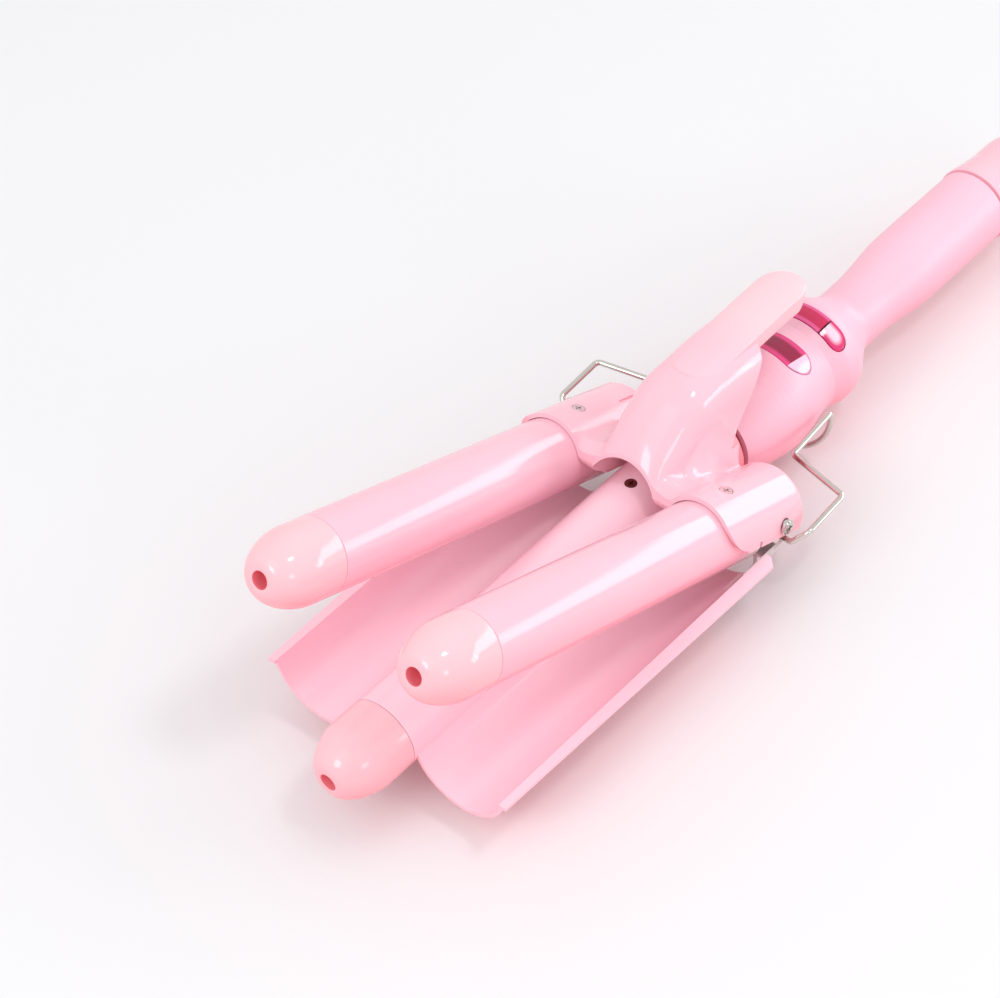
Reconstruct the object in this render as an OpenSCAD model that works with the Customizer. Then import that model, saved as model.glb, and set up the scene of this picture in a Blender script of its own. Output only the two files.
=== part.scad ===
// Three-barrel hair waver: a fixed lower jaw on the handle, and a hinged clamp
// with two barrels, a domed cover and a thumb lever.
// The model is drawn about the hinge: X points to the barrel tips, the middle
// barrel lies on the X axis, and Y runs along the hinge. It is then moved so
// that the origin is the middle of the lowest plane.

/* [Barrels] */
// Outer diameter of each barrel
barrel_d = 25; // [24:0.5:26]
// Wall of the barrel tubes
barrel_wall = 1.4; // [1:0.1:2]
// Sideways step from the middle barrel to each outer barrel
barrel_pitch = 29.5; // [29:0.5:31]
// Distance from the hinge to the seam of the end caps
barrel_reach = 139.6; // [120:1:160]
// Length of an end cap in front of the seam
cap_l = 24.4; // [20:0.5:30]
// Length of the cap's domed part
cap_dome_l = 15.5; // [12:0.5:18]
// Depth to which a cap's plug enters its tube
cap_plug_l = 8; // [5:1:12]
// Diameter of the round hole in a cap's tip
tip_hole_d = 5.8; // [4:0.2:7]
// Depth of the hole in a cap's tip
tip_hole_l = 6; // [4:0.5:9]

/* [Lower jaw] */
// Thickness of the trough plate
plate_t = 1.2; // [1:0.1:1.8]
// Inner radius of a trough over the radius of its barrel
trough_room = 4.3; // [4:0.1:5]
// Height of the trough centres over the barrel's axis
trough_z = 3.3; // [3:0.1:3.6]
// Distance of a trough's centre inside its barrel's axis
trough_shift = 1.3; // [1:0.1:1.8]
// Width of the flat lip outside each trough
lip_w = 4.9; // [4:0.1:6]
// Amount by which a lip narrows from its rear end to its front end
lip_taper = 2.2; // [0:0.1:2.6]
// Rear end of the troughs, measured from the hinge
jaw_back = 14; // [13.5:0.5:17]

/* [Clamp] */
// Opening angle of the clamp in the rest pose
open_angle = 21; // [10:1:24]
// Height of the hinge axis over the barrel's axis
hinge_z = 2.8; // [2:0.1:3.2]
// Wall of the clamp cover
cover_wall = 1.5; // [1.2:0.1:1.5]
// Rear end of the sockets behind the hinge
socket_back = 11.5; // [10:0.5:13]
// Front ring of the sockets in front of the hinge
socket_front = 29.4; // [28:0.2:31]
// Height of the dome over the barrel axes, above the hinge
dome_h = 43.8; // [40:0.5:46]
// Half width of the dome
dome_half_w = 13.2; // [12:0.2:13.4]

/* [Thumb lever] */
// Width of the lever
lever_w = 16.4; // [14:0.2:18]
// Reach of the lever's tip behind the hinge
lever_reach = 45; // [40:0.5:50]
// Height of the lever's crown over its side edges
lever_crown = 2; // [1.6:0.1:2.6]
// Depth of the lever's side walls
lever_side = 6.8; // [5:0.1:7.5]
// Height of the lever's crown above the dome at the hinge
lever_rise = 0.3; // [0.2:0.1:1]

/* [Handle] */
// Diameter of the bulb that holds the display
bulb_d = 40; // [39:0.5:42]
// Diameter of the ring-shaped ridge that holds the keys
ridge_d = 38.3; // [37:0.1:40]
// Diameter of the slim waist behind the ridge
waist_d = 22.6; // [21:0.2:25]
// Diameter of the grip
grip_d = 27; // [25:0.5:30]
// Wall of the handle shells
shell_wall = 2.2; // [1.8:0.1:2.4]
// Length of the grip from the waist to the end cap
grip_l = 66; // [60:1:90]
// Length of the end cap
end_cap_l = 33.8; // [30:0.5:40]
// Diameter of the cord inlet
inlet_d = 6.4; // [5:0.2:8]

/* [Display and keys] */
// Length of the display window along the handle
window_l = 10.8; // [9:0.2:12]
// Half angle of the display window round the bulb
window_angle = 46; // [40:1:50]
// Half angle of the lit panel under the window
panel_angle = 29; // [24:1:32]
// Length of the keys along the handle
key_l = 7; // [6:0.2:8]
// Half angle of the row of keys round the ridge
keys_angle = 53; // [48:1:56]
// Half angle of the middle key
mid_key_angle = 24; // [20:1:26]
// Travel of a key
key_travel = 0.6; // [0.4:0.1:0.8]

/* [Stand] */
// Diameter of the stand's wire
wire_d = 2; // [1.6:0.1:2.2]
// Radius of the bow's centre line under the handle
bow_r = 24; // [23:0.1:27]
// Distance of the bow behind the hinge
bow_back = 50; // [48:0.5:53]

/* [Hidden] */
$fn = 64;

// Fits and gaps
fit = 0.05;            // radial gap of pieces that are pushed together
run_gap = 0.3;         // gap between pieces that pass each other
slide_gap = 0.25;      // gap round a key

// Barrels
barrel_r = barrel_d / 2;
bore_r = barrel_r - barrel_wall;
plug_r = bore_r - fit;
tip_x = barrel_reach + cap_l;
cap_tip_r = 3.6;       // radius of the flat round the tip hole
socket_r = barrel_r + 0.2 + cover_wall;
tube_back = jaw_back;  // rear end of the two clamp barrels

// Hinge line, seen from the middle outwards
arm_in_y = barrel_pitch + 3.9;
arm_out_y = barrel_pitch + 7.8;
ear_in_y = arm_out_y + run_gap;
ear_t = 1.5;
socket_out_y = barrel_pitch + socket_r;
head_y = socket_out_y + 0.15;
shank_r = 1.9;
head_r = 2.6;
head_t = 1.3;
spring_y = barrel_pitch + 2.1;     // outer end of the springs' coils
shank_in_y = barrel_pitch - 7.1;
wire_r = wire_d / 2;
pivot_z = -3;          // height of the stand's ends in the bracket's ears
neck_half = barrel_pitch - socket_r - 0.1;     // half width between the sockets

// Lower jaw
trough_r = barrel_r + trough_room;
trough_pitch = barrel_pitch - trough_shift;
trough_out_r = trough_r + plate_t;
lip_in_y = trough_pitch + sqrt(trough_r ^ 2 - (trough_z - 0.3) ^ 2);
lip_out_y = lip_in_y + plate_t + lip_w - 1.3;
lip_top = 0.3;
lip_back = jaw_back - 2.5;
lip_front = barrel_reach - 0.4;
lip_cut = 2.8;
saddle_t = 2;
saddle_l = 14;
saddle_top = -0.64 * barrel_r;
leg_back = 8.6;        // front of the ear's leg, behind the holder's flange
strip_t = 1;           // strip on the inner wall of a trough
strip_angles = [-33, -20];
strip_x = [1.6, 21];

// Neck and handle, as distances behind the hinge
neck_front = 8;
groove_1 = 12.4;
groove_2 = 17.7;
groove_w = 1.4;
shell_front = groove_2 + groove_w / 2;
neck_r = barrel_r + 1.9;
front_r = neck_r + 0.4;
core_back = groove_2 + 8.3;
bulb_back = 42;
crease_back = 61.5;
crease_r = 17.2;
ridge_back = 69.2;
waist_back = 88.5;
waist_end = 97;
grip_start = 124;
shell_end = waist_end + grip_l;
grip_r = grip_d / 2;
bulb_r = bulb_d / 2;
ridge_r = ridge_d / 2;
waist_r = waist_d / 2;
tail = shell_end + 1 + end_cap_l;
window_x = -50.6;
key_x = -68;
board_z = 4;
board_t = 1.6;
board_l = 36;
board_w = 0.65 * bulb_d;

// The model's place: the origin is the middle of the lowest plane
bow_z = 0.4;           // height of the bow's centre
low_z = bow_z - bow_r - wire_r;
mid_x = (tip_x - tail) / 2;

function mix(a, b, t) = a + (b - a) * t;
function ease(t) = t * t * (3 - 2 * t);
function clamp01(t) = max(0, min(1, t));
function bez2(a, b, c, t) = a * (1 - t) ^ 2 + b * 2 * t * (1 - t) + c * t ^ 2;
function bez3(a, b, c, d, t) =
    a * (1 - t) ^ 3 + b * 3 * t * (1 - t) ^ 2 + c * 3 * t ^ 2 * (1 - t) + d * t ^ 3;
function mirrored(half) =
    concat(half, [for (i = [len(half) - 2:-1:0]) [-half[i].x, half[i].y]]);

module placed() {
    translate([-mid_x, 0, -low_z]) children();
}

// Turns the clamp about the hinge from closed to the rest pose
module clamp_pose() {
    placed()
        translate([0, 0, hinge_z])
            rotate([0, -open_angle, 0])
                translate([0, 0, -hinge_z])
                    children();
}

module both_sides() {
    children();
    mirror([0, 1, 0]) children();
}

// Revolves an outline of [radius, x] about the X axis
module turned(outline) {
    rotate([0, 90, 0]) rotate_extrude($fn = 96) polygon(outline);
}

module along_x(x0, x1) {
    translate([x0, 0, 0])
        rotate([90, 0, 90])
            linear_extrude(x1 - x0)
                children();
}

module rod_y(y0, y1, r) {
    translate([0, y0, 0]) rotate([-90, 0, 0]) cylinder(h = y1 - y0, r = r);
}

// ---------------------------------------------------------------- barrels

function cap_outline() = concat(
    [[0, barrel_reach], [barrel_r, barrel_reach]],
    [for (i = [0:11])
        let (a = 90 * i / 12, c = tip_x - cap_dome_l)
        [cap_tip_r * sin(a) + (barrel_r - cap_tip_r * sin(a)) * cos(a),
         c + cap_dome_l * sin(a)]],
    [[cap_tip_r, tip_x], [0, tip_x]]
);

module end_plug_cap() {
    difference() {
        union() {
            turned(cap_outline());
            along_x(barrel_reach - cap_plug_l, barrel_reach + 1) circle(plug_r);
        }
        along_x(tip_x - tip_hole_l, tip_x + 1) circle(tip_hole_d / 2);
    }
}

module barrel_tube(back) {
    difference() {
        along_x(back, barrel_reach) circle(barrel_r);
        along_x(back - 1, barrel_reach + 1) circle(bore_r);
        translate([screw_x, 0, 0]) cylinder(h = barrel_d, r = screw_clear_r);
    }
}

screw_x = 17.4;        // the screws on top of the sockets
screw_shank_r = 1.2;
screw_clear_r = 1.5;
screw_head_r = 2.2;
heater_x = [44, barrel_reach - 15.6];
core_front = 36;       // front end of the lower barrel's core
heater_t = 2.6;
heater_w = 12;

module heater_plate() {
    along_x(heater_x[0], heater_x[1]) square([heater_w, heater_t], center = true);
}

// Two half-round bars that press the heater against the tube
module spreaders() {
    both_halves = [0, 1];
    for (i = both_halves) {
        mirror([0, 0, i])
            along_x(heater_x[0] + 2, heater_x[1] - 2)
                intersection() {
                    circle(plug_r);
                    translate([-barrel_r, heater_t / 2 + fit])
                        square([barrel_d, barrel_r]);
                }
    }
}

// -------------------------------------------------------------- lower jaw

module trough_profile() {
    intersection() {
        translate([trough_pitch, trough_z])
            difference() {
                circle(trough_out_r);
                circle(trough_r);
            }
        union() {
            translate([0, -trough_out_r]) square([trough_pitch, trough_out_r - 1]);
            translate([trough_pitch, -trough_out_r])
                square([trough_out_r, trough_out_r + lip_top]);
        }
    }
}

// Flat lip outside a trough: it narrows to the front and has a cut rear corner
module lip() {
    translate([0, 0, lip_top - plate_t]) linear_extrude(plate_t) polygon([
        [lip_back, lip_in_y], [lip_front, lip_in_y], [lip_front, lip_out_y - lip_taper],
        [lip_back + lip_cut, lip_out_y], [lip_back, lip_out_y - lip_cut]
    ]);
}

// The middle barrel and the two troughs are one extrusion
module lower_jaw() {
    color("lightpink") placed() difference() {
        union() {
            along_x(-groove_2 + 2, barrel_reach) circle(barrel_r);
            both_sides() {
                along_x(jaw_back, barrel_reach - 1.4) trough_profile();
                lip();
            }
        }
        along_x(-groove_2, barrel_reach + 1) circle(bore_r);
        translate([core_screw_x, 0, 0]) cylinder(h = barrel_d, r = core_screw_r + 0.1);
    }
}

core_screw_x = 22.6;
core_screw_r = 2;

module lower_cap() {
    color("mistyrose") placed() end_plug_cap();
}

module lower_barrel_core() {
    color("whitesmoke") placed() difference() {
        union() {
            along_x(-core_back, core_front) circle(plug_r);
            along_x(-core_back, -groove_2 - 1.2) circle(neck_r - 2.6);
        }
        along_x(-core_back - 1, core_front + 1) circle(plug_r - 5);
        translate([core_screw_x, 0, 0]) cylinder(h = barrel_d, r = core_screw_r - 0.5);
    }
}

module lower_heater() {
    color("gainsboro") placed() heater_plate();
}

module lower_heat_spreaders() {
    color("silver") placed() spreaders();
}

// Countersunk cross-head screw, flush with the top of the middle barrel
module lower_barrel_screw() {
    color("silver") placed() translate([core_screw_x, 0, 0]) difference() {
        union() {
            translate([0, 0, bore_r]) cylinder(h = barrel_wall - 0.1, r = core_screw_r);
            translate([0, 0, plug_r - 4.5])
                cylinder(h = bore_r - plug_r + 4.5, r = core_screw_r - 0.5);
        }
        cross_recess(barrel_r - 0.1, 2.2, 0.5);
    }
}

module cross_recess(top, across, wide) {
    translate([0, 0, top]) {
        cube([across, wide, 1.4], center = true);
        cube([wide, across, 1.4], center = true);
    }
}

// Saddle under the troughs; at each end an ear carries the hinge and the stand,
// and a strip reaches forward along the trough's inner wall
module hinge_bracket() {
    color("silver") placed() both_sides() difference() {
        union() {
            along_x(jaw_back, jaw_back + saddle_l) saddle_profile();
            translate([0, ear_in_y + ear_t, 0])
                rotate([90, 0, 0])
                    linear_extrude(ear_t) ear_profile();
            along_x(strip_x[0], strip_x[1]) strip_profile();
            along_x(strip_x[0], leg_back) web_profile();
        }
        translate([0, 0, hinge_z]) rod_y(ear_in_y - 1, ear_in_y + ear_t + 1, shank_r);
        translate([0, 0, pivot_z]) rod_y(ear_in_y - 1, ear_in_y + ear_t + 1, wire_r + fit);
    }
}

module saddle_profile() {
    intersection() {
        difference() {
            union() {
                translate([trough_pitch, trough_z]) circle(trough_out_r + fit + saddle_t);
                circle(barrel_r + fit + saddle_t);
            }
            translate([trough_pitch, trough_z]) circle(trough_out_r + fit);
            circle(barrel_r + fit);
            translate([trough_pitch, trough_z + 1]) circle(trough_r);
        }
        translate([0, -2 * barrel_r]) square([ear_in_y + ear_t, 2 * barrel_r + saddle_top]);
    }
}

// Point of the trough's section, at a radius and an angle about its centre
function in_trough(r, a) = [trough_pitch + r * cos(a), trough_z + r * sin(a)];

module strip_profile() {
    angles = [for (i = [0:6]) mix(strip_angles[0], strip_angles[1], i / 6)];
    polygon(concat(
        [for (a = angles) in_trough(trough_r - fit, a)],
        [for (i = [6:-1:0]) in_trough(trough_r - fit - strip_t, angles[i])]
    ));
}

// Level web from the ear to the lower edge of the strip
module web_profile() {
    edge = in_trough(trough_r - fit, strip_angles[0]);
    translate([ear_in_y + 0.1, edge.y - 0.9])
        square([edge.x - ear_in_y - 0.1, 1.2]);
}

module ear_profile() {
    low = trough_z - sqrt((trough_out_r + fit) ^ 2 - (ear_in_y - trough_pitch) ^ 2);
    translate([0, hinge_z]) circle(5);
    polygon([
        [-5, hinge_z], [-4.2, -4], [1, -7.4], [4, low - saddle_t],
        [jaw_back + 2, low - saddle_t], [jaw_back + 2, low], [jaw_back - 0.6, low],
        [leg_back, low + 1], [leg_back, -5], [5, 0], [5, hinge_z]
    ]);
}

// Shoulder screws on the hinge line, with pan heads on the sockets' sides
module hinge_screws() {
    color("silver") placed() translate([0, 0, hinge_z]) both_sides() difference() {
        union() {
            rod_y(shank_in_y, head_y, shank_r);
            rod_y(head_y, head_y + head_t - 0.5, head_r);
            rod_y(head_y + head_t - 0.5, head_y + head_t, head_r - 0.5);
        }
        translate([0, head_y + head_t, 0]) rotate([-90, 0, 0]) cross_recess(0, 2.6, 0.6);
    }
}

// ------------------------------------------------------------------ handle

// Ring-grooved collar that joins the middle barrel to the handle
module neck_collar() {
    color("palevioletred") placed()
        turned([
            [barrel_r + fit, -neck_front], [neck_r - 0.6, -neck_front],
            [neck_r - 0.6, -groove_1 + groove_w / 2], [neck_r - 1.6, -groove_1 + groove_w / 2],
            [neck_r - 1.6, -groove_1 - groove_w / 2], [neck_r, -groove_1 - groove_w / 2 - 0.4],
            [neck_r, -groove_2 + groove_w / 2 + 0.4], [neck_r - 1.6, -groove_2 + groove_w / 2],
            [neck_r - 1.6, 1 - core_back], [neck_r - 2.55, 1 - core_back],
            [neck_r - 2.55, -groove_2 - 1.2], [plug_r + fit, -groove_2 - 1.2],
            [plug_r + fit, -groove_2 + 1.95], [barrel_r + fit, -groove_2 + 1.95]
        ]);
}

function hermite(a, sa, b, sb, l, t) =
    a * (1 + 2 * t) * (1 - t) ^ 2 + sa * l * t * (1 - t) ^ 2
    + b * t ^ 2 * (3 - 2 * t) + sb * l * t ^ 2 * (t - 1);

// Radius of the handle at a distance behind the hinge
function handle_r(d) =
    d < bulb_back ? hermite(front_r, 0.32, bulb_r, 0, bulb_back - shell_front,
        (d - shell_front) / (bulb_back - shell_front)) :
    d < crease_back ? mix(bulb_r, crease_r, ease((d - bulb_back) / (crease_back - bulb_back))) :
    d < ridge_back ? hermite(crease_r, 0.25, ridge_r, 0, ridge_back - crease_back,
        (d - crease_back) / (ridge_back - crease_back)) :
    d < ridge_back + 1.6 ? ridge_r :
    d < waist_back ? mix(ridge_r, waist_r,
        ease((d - ridge_back - 1.6) / (waist_back - ridge_back - 1.6))) :
    d < waist_end ? waist_r :
    d < grip_start ? mix(waist_r, grip_r, ease((d - waist_end) / (grip_start - waist_end))) :
    grip_r;

handle_steps = concat(
    [for (i = [0:9]) mix(shell_front, bulb_back, i / 10)],
    [for (i = [0:9]) mix(bulb_back, crease_back, i / 10)],
    [for (i = [0:5]) mix(crease_back, ridge_back, i / 6)],
    [for (i = [0:9]) mix(ridge_back + 1.6, waist_back, i / 10)],
    [waist_back],
    [for (i = [0:7]) mix(waist_end, grip_start, i / 8)],
    [grip_start, shell_end]
);

function bare_outline(inset, from, to) = concat(
    [[0, -from]],
    [for (d = handle_steps) if (d > from && d < to) [handle_r(d) - inset, -d]],
    [[0, -to]]
);

module handle_solid(inset) {
    turned(concat(
        [[0, -shell_front]],
        [for (d = handle_steps) [handle_r(d) - inset, -d]],
        [[0, -shell_end]]
    ));
}

shell_screw_x = [-33, -92, -150];
boss_r = 3.4;

module handle_half(top) {
    lo = top ? 0 : -bulb_d;
    difference() {
        intersection() {
            handle_solid(0);
            translate([-tail, -bulb_d, lo]) cube([tail, 2 * bulb_d, bulb_d]);
        }
        difference() {
            translate([0.001, 0, 0]) handle_solid(shell_wall);
            for (x = shell_screw_x)
                translate([x, 0, lo]) cylinder(h = bulb_d, r = boss_r);
        }
        along_x(-shell_front - 7, 0) circle(neck_r - 1.6 + fit);
        along_x(-shell_end - 1, -shell_end + 6) circle(grip_r - shell_wall / 2);
    }
}

module upper_shell() {
    color("lightpink") placed() difference() {
        handle_half(true);
        window_prism(0);
        keys_prism(0);
        for (x = shell_screw_x)
            translate([x, 0, -1]) cylinder(h = 8, r = screw_shank_r);
    }
}

module lower_shell() {
    color("lightpink") placed() difference() {
        handle_half(false);
        for (x = shell_screw_x) translate([x, 0, 0]) {
            translate([0, 0, -bulb_d]) cylinder(h = bulb_d + 1, r = screw_shank_r + 0.2);
            translate([0, 0, -bulb_d]) cylinder(h = bulb_d - 7, r = screw_head_r + 0.2);
        }
    }
}

module shell_screws() {
    color("silver") placed() for (x = shell_screw_x) translate([x, 0, 0]) difference() {
        union() {
            translate([0, 0, -8.6]) cylinder(h = 1.6, r = screw_head_r);
            translate([0, 0, -7]) cylinder(h = 13, r = screw_shank_r);
        }
        cross_recess(-8.6, 2.6, 0.6);
    }
}

// Obround prism over the handle, its ends at the given half angle
module obround_prism(x, l, r, half_angle, gap) {
    reach = r * sin(half_angle) - gap;
    end_r = l / 2 - gap;
    translate([x, 0, 0]) linear_extrude(bulb_d) {
        square([2 * end_r, 2 * (reach - end_r)], center = true);
        for (s = [-1, 1]) translate([0, s * (reach - end_r)]) circle(end_r);
    }
}

module window_prism(gap) {
    obround_prism(window_x, window_l, bulb_r - 0.5, window_angle, gap);
}

module keys_prism(gap) {
    obround_prism(key_x, key_l, ridge_r, keys_angle, gap);
}

module handle_band(from, to, outer, inner) {
    difference() {
        turned(bare_outline(outer, from, to));
        turned(concat(
            [[0, -from + 1]],
            [for (d = handle_steps) if (d > from - 3 && d < to + 3) [handle_r(d) - inner, -d]],
            [[0, -to - 1]]
        ));
    }
}

lens_t = 1.5;          // thickness of the clear window
panel_t = 1.7;         // thickness of the panel under it

module display_lens() {
    color("pink") placed() intersection() {
        window_prism(0.1);
        handle_band(bulb_back + 0.5, crease_back - 0.5, -0.1, lens_t);
    }
}

module display_panel() {
    w = 2 * (bulb_r - 0.5) * sin(panel_angle);
    color("mediumvioletred") placed() intersection() {
        translate([window_x, 0, bulb_r - 5])
            cube([window_l - 0.6, w, 2 * 5], center = true);
        handle_band(bulb_back + 0.5, crease_back - 0.5, lens_t + fit, lens_t + panel_t);
    }
}

module board_ring(x, l, r, t) {
    intersection() {
        along_x(x - l / 2, x + l / 2) difference() {
            circle(r);
            circle(r - t);
        }
        translate([-tail, -bulb_r, board_z + board_t]) cube([tail, bulb_d, bulb_r]);
    }
}

module display_holder() {
    seat_r = handle_r(-window_x + window_l / 2) - lens_t - panel_t - 0.1;
    color("whitesmoke") placed() board_ring(window_x, window_l - 1, seat_r, 1.4);
}

module circuit_board() {
    color("seagreen") placed()
        translate([key_x - 8, -board_w / 2, board_z]) cube([board_l, board_w, board_t]);
}

carrier_r = ridge_r - 6.75;
key_floor = 3.4;       // depth of a key's flange under the handle's surface

module key_carrier() {
    color("whitesmoke") placed() board_ring(key_x, key_l, carrier_r, 1.4);
}

key_lean = (keys_angle + mid_key_angle) / 2;

// One switch under each key, standing on the carrier
module key_switches() {
    color("dimgray") placed() for (a = [-key_lean, 0, key_lean])
        rotate([a, 0, 0])
            translate([key_x, 0, carrier_r + fit])
                cylinder(h = ridge_r - key_floor - key_travel - 0.6 - carrier_r, r = 1.6);
}

// A piece of the row of keys between two angles, with a flange under the shell
module key_piece(a0, a1) {
    intersection() {
        union() {
            intersection() {
                keys_prism(slide_gap);
                handle_band(ridge_back - 7.4, ridge_back + 9, -0.35, 2.7);
            }
            intersection() {
                keys_prism(-0.7);
                handle_band(ridge_back - 7.4, ridge_back + 9, shell_wall + slide_gap, key_floor);
            }
        }
        translate([-tail, 0, 0]) rotate([90, 0, 90]) linear_extrude(tail)
            polygon([
                [0.3 * sin(a0), 0.3 * cos(a0)], [bulb_d * sin(a0), bulb_d * cos(a0)],
                [bulb_d * sin(mix(a0, a1, 0.5)), bulb_d * cos(mix(a0, a1, 0.5))],
                [bulb_d * sin(a1), bulb_d * cos(a1)], [0.3 * sin(a1), 0.3 * cos(a1)]
            ]);
    }
}

key_split = 0.8;       // angle of the parting line between two keys, each side

module middle_key() {
    color("mediumvioletred") placed()
        key_piece(-mid_key_angle + key_split, mid_key_angle - key_split);
}

module right_key() {
    color("palevioletred") placed() key_piece(mid_key_angle + key_split, keys_angle + 8);
}

module left_key() {
    color("palevioletred") placed() key_piece(-keys_angle - 8, -mid_key_angle - key_split);
}

tail_r = 6.5;          // radius of the flat end round the inlet
inlet_l = 11.5;        // length of the inlet bush inside the cap

module end_cap() {
    e = shell_end + 1;
    color("lightpink") placed() difference() {
        turned(concat(
            [[0, -shell_end + 5], [grip_r - shell_wall / 2 - fit, -shell_end + 5],
             [grip_r - shell_wall / 2 - fit, -e], [grip_r + 0.4, -e],
             [grip_r + 0.4, -e - 2], [grip_r - 0.3, -e - 7]],
            [for (i = [0:2]) [grip_r - 1, -e - 13 - i * 4]],
            [for (i = [1:8]) let (a = 90 * i / 8) [
                mix(tail_r, grip_r - 1, cos(a)), -e - 21 - (end_cap_l - 21) * sin(a)]],
            [[0, -tail]]
        ));
        along_x(-tail + inlet_l, -shell_end + 6) circle(grip_r - shell_wall - 2);
        along_x(-tail - 1, -tail + inlet_l + 1) circle(inlet_d / 2 + 1.6);
    }
}

// Bush that the supply cord enters through
module cord_inlet() {
    color("dimgray") placed() difference() {
        union() {
            along_x(-tail, -tail + inlet_l + 1) circle(inlet_d / 2 + 1.6 - fit);
            along_x(-tail + inlet_l + fit, -tail + inlet_l + 2) circle(inlet_d / 2 + 3.4);
        }
        along_x(-tail - 1, -tail + inlet_l + 3) circle(inlet_d / 2);
    }
}

// ------------------------------------------------------------------- clamp

function ridge_z(x) = dome_h - 0.37 * x - 0.0054 * x ^ 2;
nose_x = 12;
hump_h = barrel_r + 0.5 + 1.2;
dome_power = 2.5;      // exponent of the dome's rounded section
web_z = 6.3;           // underside of the web between arch and socket, in front

// Stations of the cover as [x, height of the ridge], from the front backwards
front_stations = [for (i = [0:12]) let (t = i / 13) [
    bez3(socket_front, socket_front - 2.6, nose_x + 6, nose_x, t),
    bez3(hump_h, hump_h + 8, ridge_z(nose_x) - 3, ridge_z(nose_x), t)
]];
mid_stations = [for (i = [0:7]) let (x = mix(nose_x, -socket_back + 2.5, i / 7)) [x, ridge_z(x)]];
rear_stations = [for (i = [0:4]) let (x = mix(-6, -24, i / 4)) [x, ridge_z(x)]];

// Half of the dome's section, from the valley beside it to its crown
function dome_half(s, inset) =
    let (
        h = s[1],
        f = clamp01((h - hump_h) / (ridge_z(nose_x) - hump_h)),
        w = mix(barrel_r + 1.5, dome_half_w, ease(clamp01(f / 0.5)))
            + max(0, 2 - s[0]) * 0.06 - inset,
        base = mix(0, h - 16, f),
        n = mix(2, dome_power, f),
        lift = ease(clamp01(f / 0.4)),
        foot = [17 + 0.6 * lift, 8 + 3 * lift - 2.5 * ease(clamp01((9 - s[0]) / 12))],
        start = asin(clamp01((foot.y + 2.2 - base) / (h - base)) ^ (n / 2)),
        top = h - inset,
        from = [w * cos(start) ^ (2 / n), base + (top - base) * sin(start) ^ (2 / n)],
        dir = [w * sin(start), -(top - base) * cos(start)] / norm([w, top - base]),
        valley = [foot.x - inset, foot.y - inset],
        reach = max(2, (from.y - valley.y) * 0.5)
    )
    concat(
        [for (i = [0:6]) let (t = i / 7) [
            bez3(valley.x, valley.x - mix(2.5, 1.8, f), from.x + dir.x * reach, from.x, t),
            bez3(valley.y, valley.y, from.y + dir.y * reach, from.y, t)]],
        [for (i = [0:9]) let (
            a = mix(start, 90, i / 9))
            [w * (i == 9 ? 0 : abs(cos(a)) ^ (2 / n)),
             base + (top - base) * abs(sin(a)) ^ (2 / n)]]
    );

// Half of the whole section: socket, valley and dome
function cover_half(s) =
    let (
        lean = 120,
        edge = [barrel_pitch + socket_r * cos(lean), socket_r * sin(lean)],
        dome = dome_half(s, 0),
        valley = dome[0]
    )
    concat(
        [[barrel_pitch + socket_r, -1]],
        [for (i = [0:12]) let (a = lean * i / 12)
            [barrel_pitch + socket_r * cos(a), socket_r * sin(a)]],
        [for (i = [1:3]) let (t = i / 4) [
            bez3(edge.x, edge.x - 2.4 * sin(lean), valley.x + 2, valley.x, t),
            bez3(edge.y, edge.y + 2.4 * cos(lean), valley.y, valley.y, t)]],
        dome
    );

function at_x(x, outline) = [for (p = outline) [x, p.x, p.y]];

// Closed solid through sections that all have the same number of points
module loft(sections) {
    n = len(sections);
    m = len(sections[0]);
    polyhedron(
        points = [for (s = sections) each s],
        faces = concat(
            [[for (i = [m - 1:-1:0]) i]],
            [for (j = [0:n - 2], i = [0:m - 1]) let (k = (i + 1) % m)
                each [[j * m + i, j * m + k, (j + 1) * m + k],
                      [j * m + i, (j + 1) * m + k, (j + 1) * m + i]]],
            [[for (i = [0:m - 1]) (n - 1) * m + i]]
        ),
        convexity = 8
    );
}

// Open-bottomed disc of a socket, for its rounded rear end
module socket_disc(x, r) {
    translate([x, barrel_pitch, 0]) rotate([90, 0, 90]) linear_extrude(0.02)
        polygon(concat(
            [[r, -1]],
            [for (i = [0:18]) let (a = 180 * i / 18) [r * cos(a), r * sin(a)]],
            [[-r, -1]]
        ));
}

module socket_ends() {
    edge = 2.5;
    steps = 5;
    both_sides() for (i = [0:steps - 1]) hull() {
        for (k = [i, i + 1])
            socket_disc(
                -socket_back + (edge + 0.1) * (1 - cos(90 * k / steps)),
                socket_r - edge - 0.03 + edge * sin(90 * k / steps)
            );
    }
}

// Everything behind the slanted rear edge of the dome
module rear_cut() {
    translate([0, neck_half, 0]) rotate([90, 0, 0]) linear_extrude(2 * neck_half)
        polygon([
            [-4.6, -20], [-4.6, 11], [-6.6, 20], [-10.2, 30], [-12.8, 38],
            [-15.2, 43], [-16.2, 47], [-16.2, 70], [-60, 70], [-60, -20]
        ]);
}

// The front ring of each socket recedes on its lower sides, from a height
module side_cut(height, outer_y) {
    curve = [for (i = [0:8]) let (t = i / 8) [
        bez2(socket_front + 0.2, 28, 19, t), bez2(height, height / 4, -0.2, t)]];
    both_sides()
        translate([0, outer_y, 0]) rotate([90, 0, 0]) linear_extrude(13)
            polygon(concat(curve, [[19, -5], [socket_front + 2, -5], [socket_front + 2, height]]));
}

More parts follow.
